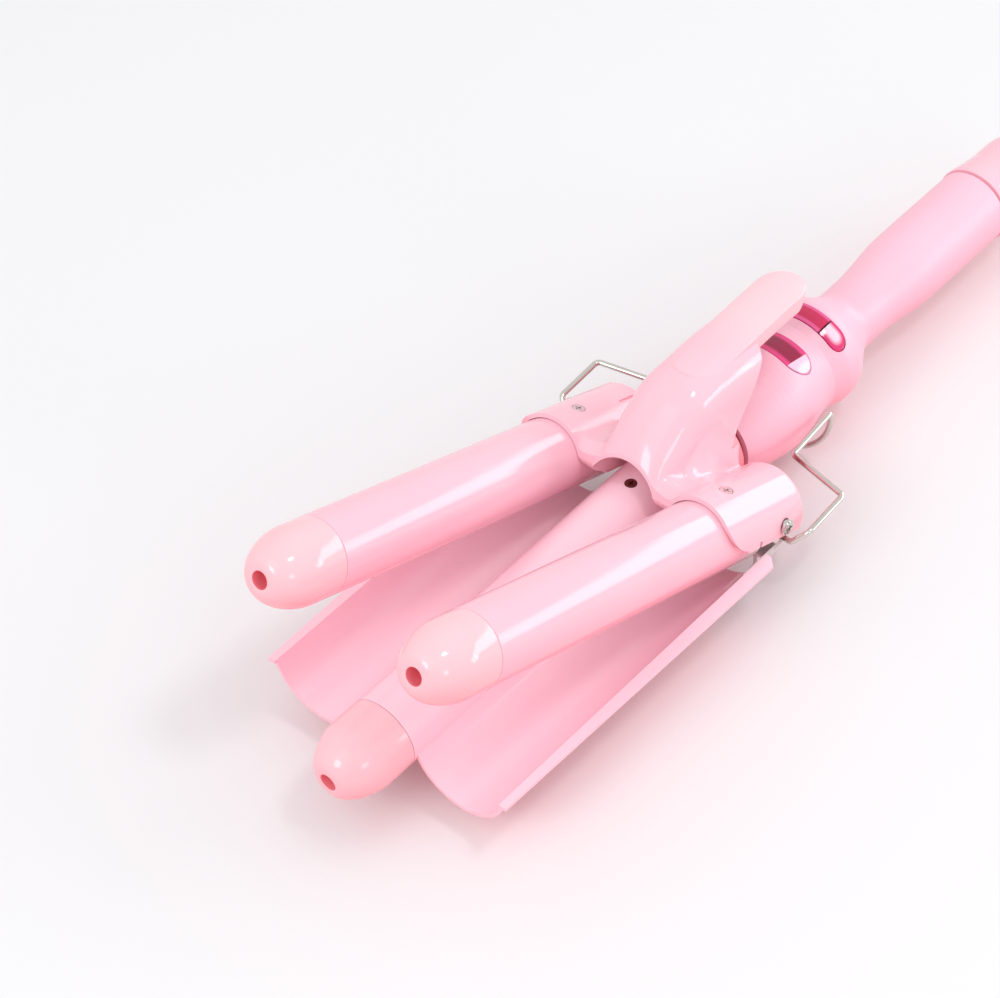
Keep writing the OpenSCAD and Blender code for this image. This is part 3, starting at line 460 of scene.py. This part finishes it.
def rim_of(material, centre, straight, end_r):
    """Obround measures in a material, for an obround of given sizes."""
    node = material.node_tree.nodes.new("ShaderNodeGroup")
    node.node_tree = obround_rim
    node.inputs["Centre"].default_value = [c * MM for c in centre]
    node.inputs["Straight"].default_value = straight * MM
    node.inputs["End radius"].default_value = end_r * MM
    return node.outputs


lens = dress("clear_lens", (196, 112, 158), (188, 104, 150), gloss=0.1)
rim = rim_of(lens, window_centre, window_straight, window_end_r)
tint(lens, rim["Ratio"], 0.9, 0.94, (250, 206, 228))
tint(lens, rim["Across"], (panel_half - 0.15) * MM, panel_half * MM, (226, 66, 132))
band = rim_of(lens, window_centre, endless, window_end_r)
ends = worked(lens.node_tree, "GREATER_THAN", rim["Across"], (panel_half - 0.1) * MM)
tint(lens, worked(lens.node_tree, "MAXIMUM", band["Ratio"], ends), 0.5, 0.74, (150, 12, 66))
paint(lens, "display_lens")
panel = dress("panel_magenta", (150, 28, 82), (128, 20, 66), gloss=0.2)
paint(panel, "display_panel")

middle = dress("key_magenta", (236, 96, 158), (230, 84, 148), gloss=0.1, Coat_Weight=0.4)
tint(middle, rim_of(middle, key_centre, endless, key_end_r)["Ratio"], 0.55, 0.75, (204, 24, 84))
paint(middle, "middle_key")
side_key_highlighted = dress("key_pink", (222, 52, 124), (214, 42, 112), gloss=0.1, Coat_Weight=0.4)
# Painted highlight: the side keys go pale pink towards their middle.
tint(side_key_highlighted, rim_of(side_key_highlighted, key_centre, key_straight, key_end_r)["Ratio"], 0.35, 0.75, (255, 216, 232))
paint(side_key_highlighted, "left_key", "right_key")

# ------------------------------------------------------------- clamp cover
# One glossy moulding: a steep dome between two sockets, open below, with a
# slanted rear edge and front rings that recede on their outer sides.
wall = 1.5
seat_r = barrel_r + 0.2
socket_r = seat_r + wall
socket_back = 11.5
socket_front = 29.4
socket_sweep = math.radians(120)
outer_y = barrel_pitch + socket_r
dome_h = 43.8
dome_half_w = 13.2
dome_power = 2.5
dome_depth = 16
ridge_fall = 0.37
ridge_bend = 0.0054
nose_x = 12
hump_h = barrel_r + 1.7
hump_half_w = barrel_r + 1.5
hollow_half = barrel_r + 0.5
neck_half = barrel_pitch - socket_r - 0.1
valley_y = 17
valley_z = 8
valley_rise = 3
valley_dip = 2.5
foot_rise = 2.2
below = -8


def mix(a, b, t):
    """Value at a share t of the way from a to b."""
    return a + (b - a) * t


def clamped(t):
    """The value, held between 0 and 1."""
    return max(0.0, min(1.0, t))


def smooth(t):
    """Share that starts and ends slowly."""
    return t * t * (3 - 2 * t)


def cubic(a, b, c, d, t):
    """Value on a curve from a to d that is drawn towards b and c."""
    return a * (1 - t) ** 3 + 3 * b * t * (1 - t) ** 2 + 3 * c * t * t * (1 - t) + d * t ** 3


def arch(r):
    """Points of a half circle about the X axis, from its right end to its left."""
    steps = 60
    return [(r * math.cos(math.pi * k / steps), r * math.sin(math.pi * k / steps)) for k in range(steps + 1)]


def ridge_z(x):
    """Height of the dome's crown."""
    return dome_h - ridge_fall * x - ridge_bend * x * x


def flare(x):
    """Widening of the dome towards the rear."""
    return max(0, 2 - x) * 0.06


def dome_half(x, h, inset=0.0):
    """Half of the dome's section, from the valley beside it to its crown."""
    foot_steps = 20
    crown_steps = 28
    f = clamped((h - hump_h) / (ridge_z(nose_x) - hump_h))
    w = mix(hump_half_w, dome_half_w, smooth(clamped(f / 0.5))) + flare(x) - inset
    base = mix(0, h - dome_depth, f)
    n = mix(2, dome_power, f)
    lift = smooth(clamped(f / 0.4))
    foot_z = valley_z + valley_rise * lift - valley_dip * smooth(clamped((9 - x) / 12))
    start = math.asin(clamped((foot_z + foot_rise - base) / (h - base)) ** (n / 2))
    top = h - inset
    leave = Vector((w * math.cos(start) ** (2 / n), base + (top - base) * math.sin(start) ** (2 / n)))
    slope = Vector((w * math.sin(start), -(top - base) * math.cos(start))) / math.hypot(w, top - base)
    valley = Vector((valley_y + 0.6 * lift - inset, foot_z - inset))
    reach = max(2, (leave.y - valley.y) * 0.5)
    half = []
    for i in range(foot_steps):
        t = i / foot_steps
        half.append((cubic(valley.x, valley.x - mix(2.5, 1.8, f), leave.x + slope.x * reach, leave.x, t),
                     cubic(valley.y, valley.y, leave.y + slope.y * reach, leave.y, t)))
    for i in range(crown_steps + 1):
        a = mix(start, math.pi / 2, i / crown_steps)
        half.append((0.0 if i == crown_steps else w * abs(math.cos(a)) ** (2 / n),
                     base + (top - base) * abs(math.sin(a)) ** (2 / n)))
    return half


def cover_half(x, h):
    """Half of the whole section: socket, valley and dome."""
    sweep_steps = 44
    web_steps = 9
    edge = Vector((barrel_pitch + socket_r * math.cos(socket_sweep), socket_r * math.sin(socket_sweep)))
    pull = Vector((-math.sin(socket_sweep), math.cos(socket_sweep))) * 2.4
    dome = dome_half(x, h)
    valley = dome[0]
    half = [(outer_y, -1)]
    for i in range(sweep_steps + 1):
        a = socket_sweep * i / sweep_steps
        half.append((barrel_pitch + socket_r * math.cos(a), socket_r * math.sin(a)))
    for i in range(1, web_steps):
        t = i / web_steps
        half.append((cubic(edge.x, edge.x + pull.x, valley[0] + 2, valley[0], t),
                     cubic(edge.y, edge.y + pull.y, valley[1], valley[1], t)))
    return half + dome


def mirrored(half):
    """Whole outline from its right half, which ends on the middle line."""
    return half + [(-y, z) for y, z in half[-2::-1]]


def neck_section(x, h):
    """Section of the dome's rear, narrow enough to pass between the barrels."""
    return mirrored([(min(y, neck_half), z) for y, z in dome_half(x, h)])


def hollow_section(x, h):
    """Section of the space under the dome."""
    return mirrored([(hollow_half, 0)] + dome_half(x, h, wall))


def tunnel(r, y):
    """Outline of an arch over a place, with straight sides that run down."""
    return [(y + across, z) for across, z in arch(r) + [(-r, below), (r, below)]]


def rectangle(x, z, long, high):
    """Outline of a rectangle, given its front lower corner, its length and its height."""
    return [(x - long, z), (x, z), (x, z + high), (x - long, z + high)]


def lofted(sections):
    """Closed solid through sections (x, outline) that have the same number of points."""
    work = bmesh.new()
    rings = [[work.verts.new((x, y, z)) for y, z in outline] for x, outline in sections]
    count = len(rings[0])
    for a, b in zip(rings, rings[1:]):
        for k in range(count):
            n = (k + 1) % count
            work.faces.new((a[k], b[k], b[n], a[n]))
    work.faces.new(rings[0])
    work.faces.new(rings[-1][::-1])
    return work


def prism(outline, low, high, axis):
    """Solid with a flat outline in two axes, between two places on the third."""
    work = bmesh.new()
    at = {"X": lambda p, s: (s, p[0], p[1]), "Y": lambda p, s: (p[0], s, p[1]),
          "Z": lambda p, s: (p[0], p[1], s)}[axis]
    rings = [[work.verts.new(at(p, s)) for p in outline] for s in (low, high)]
    for k in range(len(outline)):
        n = (k + 1) % len(outline)
        work.faces.new((rings[0][k], rings[0][n], rings[1][n], rings[1][k]))
    work.faces.new(rings[0])
    work.faces.new(rings[1][::-1])
    return work


def solid_from(work):
    """Work object made of a closed work mesh."""
    bmesh.ops.recalc_face_normals(work, faces=work.faces)
    mesh = bpy.data.meshes.new("work")
    work.to_mesh(mesh)
    work.free()
    return added("work", mesh)


cover_sections = []
for i in range(46):
    t = i / 46
    cover_sections.append((cubic(socket_front, socket_front - 2.6, nose_x + 6, nose_x, t),
                           cubic(hump_h, hump_h + 8, ridge_z(nose_x) - 3, ridge_z(nose_x), t)))
cover_sections += [(x, ridge_z(x)) for x in (mix(nose_x, -socket_back + 2.5, i / 24) for i in range(25))]
neck_sections = [(x, ridge_z(x)) for x in (mix(-6, -24, i / 14) for i in range(15))]
cover = solid_from(lofted([(x, mirrored(cover_half(x, h))) for x, h in cover_sections]))


def change_cover(work, operation):
    """Joins a work mesh to the cover, or cuts it away."""
    other = solid_from(work)
    change = cover.modifiers.new("change", "BOOLEAN")
    change.operation = operation
    change.solver = "EXACT"
    change.object = other
    mesh = bpy.data.meshes.new_from_object(cover.evaluated_get(bpy.context.evaluated_depsgraph_get()))
    cover.modifiers.clear()
    used = [cover.data, other.data]
    cover.data = mesh
    bpy.data.objects.remove(other)
    for old in used:
        bpy.data.meshes.remove(old)


# The neck goes back over the handle, and each socket's rear edge is round.
change_cover(lofted([(x, neck_section(x, h)) for x, h in neck_sections]), "UNION")
edge_r = 2.5
edge_steps = 12
for side in (-1, 1):
    rings = []
    for k in range(edge_steps + 1):
        a = math.pi / 2 * k / edge_steps
        r = socket_r - edge_r - 0.03 + edge_r * math.sin(a)
        rings.append((-socket_back + (edge_r + 0.1) * (1 - math.cos(a)),
                      [(side * barrel_pitch + y, z) for y, z in [(r, -1)] + arch(r) + [(-r, -1)]]))
    change_cover(lofted(rings), "UNION")

# Below, the dome and its neck are hollow, and so are the ways of the barrels.
past_front = socket_front + 1
change_cover(lofted([(x - wall, hollow_section(x, h)) for x, h in cover_sections]), "DIFFERENCE")
under_neck = [(-4, ridge_z(-4))] + neck_sections
change_cover(lofted([(x, hollow_section(x, h)) for x, h in under_neck]), "DIFFERENCE")
change_cover(prism(tunnel(hollow_half, 0), -30, past_front, "X"), "DIFFERENCE")
seat_back = -socket_back + 2.6
for side in (-1, 1):
    change_cover(prism(tunnel(seat_r, side * barrel_pitch), seat_back, past_front, "X"), "DIFFERENCE")

# The neck's rear is cut along a slanted line, and the front rings recede.
rear_line = [(-4.6, -20), (-4.6, 11), (-6.6, 20), (-10.2, 30), (-12.8, 38), (-15.2, 43), (-16.2, 47),
             (-16.2, 70), (-60, 70), (-60, -20)]
change_cover(prism(rear_line, -neck_half, neck_half, "Y"), "DIFFERENCE")
recess_steps = 32
recess_w = 13
recess_x = 28
recess_back = 19
for height, edge_y in ((10, outer_y + 2), (6.3, barrel_pitch - 8)):
    recess = []
    for i in range(recess_steps + 1):
        t = i / recess_steps
        recess.append((mix(mix(socket_front + 0.2, recess_x, t), mix(recess_x, recess_back, t), t),
                       mix(mix(height, height / 4, t), mix(height / 4, -0.2, t), t)))
    recess += [(recess_back, -5), (socket_front + 2, -5), (socket_front + 2, height)]
    for side in (-1, 1):
        low, high = sorted((side * (edge_y - recess_w), side * edge_y))
        change_cover(prism(recess, low, high, "Y"), "DIFFERENCE")

# Each socket has a sunk seat for its screw and a hole for the hinge screw. The
# left one has a pressed slot on its top, and the right one a nick in its side.
screw_x = 17.4
screw_head_r = 2.2
hinge_hole_r = 2.4
hole_sides = 48
for side in (-1, 1):
    ring = ring_points(screw_x, side * barrel_pitch, screw_head_r + 0.1, hole_sides)
    change_cover(prism(ring, socket_r - 0.6, socket_r + 3, "Z"), "DIFFERENCE")
    low, high = sorted((side * (barrel_pitch + 11), side * (outer_y + 4)))
    change_cover(prism(ring_points(0, hinge_rise, hinge_hole_r, hole_sides), low, high, "Y"), "DIFFERENCE")
slot = prism(rectangle(0.9, socket_r - 0.7, 9, 1.4), -0.5, 0.5, "Y")
slot.transform(Matrix.Translation((0, -barrel_pitch, 0)) @ Matrix.Rotation(math.radians(-17), 4, "X"))
change_cover(slot, "DIFFERENCE")
change_cover(prism(rectangle(13.3, -1.2, 1.4, 2.4), outer_y - 2, outer_y + 2, "Y"), "DIFFERENCE")

work = bmesh.new()
work.from_mesh(cover.data)
bmesh.ops.remove_doubles(work, verts=work.verts, dist=0.002)
used = cover.data
bpy.data.objects.remove(cover)
bpy.data.meshes.remove(used)
moulded_cover = piece_from(work, "moulded_cover", clamp_seat, cover_gloss, crease=32)
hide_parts("clamp_cover")
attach(moulded_cover, "clamp")

# ------------------------------------------------------------- thumb lever
# A paler moulding welded along the dome's crown: a slim rib that fades into
# the dome in front and a hollow, rounded thumb rest behind.
lever_half = 8.2
lever_reach = 45
lever_rise = 0.3
lever_crown = 2
lever_side = 6.8
lever_wall = 2.1
lever_floor = 2.2
lever_slope = 0.425
lever_front_x = 2.5
lever_end_x = lever_half - lever_reach
dome_end_x = -16.4


def dome_top(x, y):
    """Height of the dome's skin beside its crown."""
    share = clamped(abs(y) / (dome_half_w + flare(x)))
    return ridge_z(x) - dome_depth + dome_depth * (1 - share ** dome_power) ** (1 / dome_power)


def lever_half_at(x):
    """Half of the lever's width, with a round end in front and behind."""
    off = (x - lever_front_x) if x > lever_front_x else (lever_end_x - x) if x < lever_end_x else 0
    return lever_half * math.sqrt(max(0.02, 1 - (off / lever_half) ** 2))


def lever_line(x):
    """Height of the lever's crown, which drops at its rear end."""
    return dome_h + lever_rise - lever_slope * x - 3.6 * clamped((lever_end_x + 5 - x) / 13) ** 2


def lever_top(x, y):
    """Height of the lever's upper face, which stays over the dome."""
    crown = lever_line(x) - lever_crown * (abs(y) / lever_half) ** 2.4
    return max(dome_top(x, y) + 0.06, crown) if x > dome_end_x else crown


def lever_section(x):
    """Half of the lever's outline at one station, from its crown over the rim to its hollow."""
    w = lever_half_at(x)
    rise = 3 * clamped((lever_end_x - x) / 8) ** 2
    over_dome = clamped((x - dome_end_x) / 0.6)
    outline = [(v * w, lever_top(x, v * w)) for v in (0, 0.2, 0.4, 0.6, 0.78, 0.9, 0.965)]
    top = lever_top(x, w)
    free_edge = lever_line(x) - lever_crown - lever_side + rise
    edge = min(mix(free_edge, dome_top(x, w) - 0.6, over_dome), top - 0.5)
    ease = min(0.6, 0.25 * (top - edge))
    outline += [(w, top - ease), (w, mix(top, edge, 0.5)), (w, edge + ease), (w - ease * min(1, w), edge)]
    inner = w - min(lever_wall, 0.5 * w)
    floor_z = mix(lever_top(x, 0) - lever_floor, dome_top(x, 0) - 0.8, over_dome)
    low_z = mix(lever_top(x, inner) - lever_floor, dome_top(x, inner) - 0.6, over_dome)
    outline += [(inner + 0.1, edge), (inner, mix(edge, low_z, 0.6)),
                (inner * 0.8, min(low_z + 0.1, floor_z)), (inner * 0.4, floor_z), (0, floor_z)]
    return outline


front_angles = (84, 76, 68, 57, 45, 32, 18, 6)
end_angles = (0, 14, 28, 42, 55, 67, 76, 84)
stations = [lever_front_x + lever_half * math.sin(math.radians(a)) for a in front_angles]
stations += [1, -1.5, -4, -6.5, -9, -11.5, -13.5, -15.4, dome_end_x + 0.05, dome_end_x - 0.05, -17.4, -19.5]
stations += [-22, -25, -28, -31, -34]
stations += [lever_end_x - lever_half * math.sin(math.radians(a)) for a in end_angles]
sections = []
for x in stations:
    half = lever_section(x)
    sections.append((x, half + [(-y, z) for y, z in half[-2:0:-1]]))
lever_gloss = dress("lever_gloss", (250, 206, 214), (248, 201, 209), gloss=0.22)
behind = worked(lever_gloss.node_tree, "MULTIPLY", object_axes(lever_gloss.node_tree)["X"], -1)
tint(lever_gloss, behind, 2 * MM, 18 * MM, (250, 196, 209))
lever = piece_from(lofted(sections), "moulded_lever", clamp_seat, lever_gloss, crease=180)
rounding = lever.modifiers.new("rounding", "SUBSURF")
rounding.levels = rounding.render_levels = 2
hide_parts("thumb_lever")
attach(lever, "clamp")

# ------------------------------------------------ screws of cover and handle
# Flat cross-head screws: two on top of the sockets hold the barrels' rear ends,
# and three from below hold the handle's halves together.
cover_screw = {"Head radius": screw_head_r, "Head height": 0.45, "Shank radius": 1.2, "Shank length": 8.1,
               "Recess width": 2.4, "Recess bar": 0.5, "Recess depth": 0.7}
shell_screw = {"Head radius": 2.2, "Head height": 1.6, "Shank radius": 1.2, "Shank length": 13,
               "Recess width": 2.6, "Recess bar": 0.6, "Recess depth": 0.7}
screw_seat_z = 13.6
shell_seat_z = 7


def open_tree(name, sizes):
    """Geometry tree with a mesh, named sizes and a finish coming in."""
    tree = bpy.data.node_groups.new(name, "GeometryNodeTree")
    tree.interface.new_socket("Geometry", in_out="INPUT", socket_type="NodeSocketGeometry")
    for size in sizes:
        tree.interface.new_socket(size, in_out="INPUT", socket_type="NodeSocketFloat")
    tree.interface.new_socket("Finish", in_out="INPUT", socket_type="NodeSocketMaterial")
    tree.interface.new_socket("Geometry", in_out="OUTPUT", socket_type="NodeSocketGeometry")
    return tree, tree.nodes.new("NodeGroupInput"), tree.links.new


def close_tree(tree, given, last):
    """Ends a tree with realized instances, smooth faces and the finish."""
    real = tree.nodes.new("GeometryNodeRealizeInstances")
    soft = tree.nodes.new("GeometryNodeSetShadeSmooth")
    finish = tree.nodes.new("GeometryNodeSetMaterial")
    out = tree.nodes.new("NodeGroupOutput")
    tree.links.new(last, real.inputs["Geometry"])
    tree.links.new(real.outputs["Geometry"], soft.inputs["Geometry"])
    tree.links.new(soft.outputs["Geometry"], finish.inputs["Geometry"])
    tree.links.new(given.outputs["Finish"], finish.inputs["Material"])
    tree.links.new(finish.outputs["Geometry"], out.inputs["Geometry"])
    return tree


def grown(name, tree, points, edges, place, material, sizes):
    """Plain mesh that a tree grows on points or a path, placed in the frame."""
    mesh = bpy.data.meshes.new(name)
    mesh.from_pydata([Vector(p) * MM for p in points], edges, [])
    seed = added(name, mesh)
    change = seed.modifiers.new(name, "NODES")
    change.node_group = tree
    keys = {item.name: item.identifier for item in tree.interface.items_tree if item.in_out == "INPUT"}
    for key, value in sizes.items():
        change[keys[key]] = value * MM
    change[keys["Finish"]] = material
    result = bpy.data.meshes.new_from_object(seed.evaluated_get(bpy.context.evaluated_depsgraph_get()))
    seed.modifiers.clear()
    bpy.data.objects.remove(seed)
    bpy.data.meshes.remove(mesh)
    away = place.copy()
    away.translation = away.translation * MM
    result.transform(away)
    result.set_sharp_from_angle(angle=math.radians(40))
    result.name = name
    return added(name, result)


def screw_tree():
    """A screw on each point: chamfered head with a cross recess, and its shank below."""
    head_sides = 64
    shank_sides = 48
    chamfer = 0.92
    overlap = 0.1 * MM
    tree, given, link = open_tree("screw_row", cover_screw)
    new = tree.nodes.new
    head = new("GeometryNodeMeshCone")
    head.inputs["Vertices"].default_value = head_sides
    link(given.outputs["Head radius"], head.inputs["Radius Bottom"])
    link(worked(tree, "MULTIPLY", given.outputs["Head radius"], chamfer), head.inputs["Radius Top"])
    link(given.outputs["Head height"], head.inputs["Depth"])
    shank = new("GeometryNodeMeshCylinder")
    shank.inputs["Vertices"].default_value = shank_sides
    deep = worked(tree, "ADD", given.outputs["Shank length"], overlap)
    link(given.outputs["Shank radius"], shank.inputs["Radius"])
    link(deep, shank.inputs["Depth"])
    drop = new("ShaderNodeCombineXYZ")
    lowered = new("GeometryNodeTransform")
    link(worked(tree, "MULTIPLY_ADD", deep, -0.5, overlap), drop.inputs["Z"])
    link(shank.outputs["Mesh"], lowered.inputs["Geometry"])
    link(drop.outputs[0], lowered.inputs["Translation"])
    union = new("GeometryNodeMeshBoolean")
    union.operation = "UNION"
    link(head.outputs["Mesh"], union.inputs["Mesh 2"])
    link(lowered.outputs["Geometry"], union.inputs["Mesh 2"])
    cut = new("GeometryNodeMeshBoolean")
    cut.operation = "DIFFERENCE"
    link(union.outputs["Mesh"], cut.inputs["Mesh 1"])
    twice = worked(tree, "MULTIPLY", given.outputs["Recess depth"], 2)
    top = new("ShaderNodeCombineXYZ")
    link(given.outputs["Head height"], top.inputs["Z"])
    for long_side, short_side in (("X", "Y"), ("Y", "X")):
        box = new("ShaderNodeCombineXYZ")
        bar = new("GeometryNodeMeshCube")
        raised = new("GeometryNodeTransform")
        link(given.outputs["Recess width"], box.inputs[long_side])
        link(given.outputs["Recess bar"], box.inputs[short_side])
        link(twice, box.inputs["Z"])
        link(box.outputs[0], bar.inputs["Size"])
        link(bar.outputs["Mesh"], raised.inputs["Geometry"])
        link(top.outputs[0], raised.inputs["Translation"])
        link(raised.outputs["Geometry"], cut.inputs["Mesh 2"])
    each = new("GeometryNodeInstanceOnPoints")
    link(given.outputs["Geometry"], each.inputs["Points"])
    link(cut.outputs["Mesh"], each.inputs["Instance"])
    return close_tree(tree, given, each.outputs["Instances"])


pale_steel = dress("screw_steel", (238, 214, 218), (224, 200, 205), gloss=0.3, Metallic=0.8)
screw_row = screw_tree()
cover_points = [(screw_x, side * barrel_pitch, screw_seat_z) for side in (-1, 1)]
shell_points = [(x, 0, shell_seat_z) for x in (-33, -92, -150)]
from_below = seat @ Matrix.Rotation(math.pi, 4, "X")
for name, body, place, points, sizes in (
        ("cover_screws", "clamp", clamp_seat, cover_points, cover_screw),
        ("shell_screws", "handle", from_below, shell_points, shell_screw)):
    screws = grown("driven_" + name, screw_row, points, [], place, pale_steel, sizes)
    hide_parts(name)
    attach(screws, body)

# ------------------------------------------------------- springs and stand
# Two torsion springs turn round the hinge screws. The stand is one chromed
# wire: its ends turn in the bracket's ears and its rear is a round bow.
spring_steel = dress("spring_steel", (176, 176, 180), (152, 152, 158), gloss=0.25, Metallic=1.0)
paint(spring_steel, "return_springs")
wire_r = 1
wire_bend_r = 2
ear_z = -3
ear_end_y = 36.4
bow_r = 24
bow_back = 50
bow_z = 0.4
bow_steps = 64


def wire_tree():
    """A round wire along a path, bent at every corner with one radius."""
    bend_steps = 10
    wire_sides = 32
    tree, given, link = open_tree("bent_wire", ("Wire radius", "Bend radius"))
    new = tree.nodes.new
    path = new("GeometryNodeMeshToCurve")
    bends = new("GeometryNodeFilletCurve")
    bends.mode = "POLY"
    bends.inputs["Count"].default_value = bend_steps
    bends.inputs["Limit Radius"].default_value = True
    ring = new("GeometryNodeCurvePrimitiveCircle")
    ring.inputs["Resolution"].default_value = wire_sides
    drawn = new("GeometryNodeCurveToMesh")
    drawn.inputs["Fill Caps"].default_value = True
    link(given.outputs["Geometry"], path.inputs["Mesh"])
    link(path.outputs["Curve"], bends.inputs["Curve"])
    link(given.outputs["Bend radius"], bends.inputs["Radius"])
    link(given.outputs["Wire radius"], ring.inputs["Radius"])
    link(bends.outputs["Curve"], drawn.inputs["Curve"])
    link(ring.outputs["Curve"], drawn.inputs["Profile Curve"])
    return close_tree(tree, given, drawn.outputs["Mesh"])


wire_chrome = dress("stand_chrome", (226, 222, 214), (208, 203, 196), gloss=0.12, Metallic=1.0)
right_half = [(0, ear_end_y, ear_z), (0, outer_y + 2.2, ear_z), (-3.4, outer_y + 6.3, 1.2),
              (-21.4, outer_y + 6.1, 3), (-27, bow_r + 2, 2.2), (-bow_back, bow_r, bow_z + 1.8)]
bow = []
for k in range(bow_steps + 1):
    a = math.pi * k / bow_steps
    bow.append((-bow_back, bow_r * math.cos(a), bow_z - bow_r * math.sin(a)))
way = right_half + bow + [(x, -y, z) for x, y, z in right_half[::-1]]
stand = grown("drawn_stand", wire_tree(), way, [(i, i + 1) for i in range(len(way) - 1)], seat, wire_chrome,
              {"Wire radius": wire_r, "Bend radius": wire_bend_r})
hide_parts("wire_stand")
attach(stand, "stand")

# ------------------------------------------------------------ inner pieces
# Core, holders, heaters and their metal bars, and the board with its seats,
# keep the frame's shapes and get the finish that such parts have.
inner = dress("inner_plastic", (236, 232, 226), (226, 222, 216), gloss=0.45)
paint(inner, "lower_barrel_core", "display_holder", "key_carrier", "left_holder", "right_holder")
ceramic = dress("heater_ceramic", (238, 236, 230), (228, 226, 220), gloss=0.5)
paint(ceramic, "lower_heater", "left_heater", "right_heater")
aluminium = dress("bare_aluminium", (205, 206, 208), (188, 190, 193), gloss=0.32, Metallic=1.0)
paint(aluminium, "lower_heat_spreaders", "left_heat_spreaders", "right_heat_spreaders")
board = dress("board_green", (36, 110, 66), (28, 92, 56), gloss=0.3)
paint(board, "circuit_board")
black = dress("switch_black", (40, 40, 44), (30, 30, 33), gloss=0.45)
paint(black, "key_switches")
rubber = dress("inlet_rubber", (232, 150, 170), (224, 140, 160), gloss=0.5)
paint(rubber, "cord_inlet")
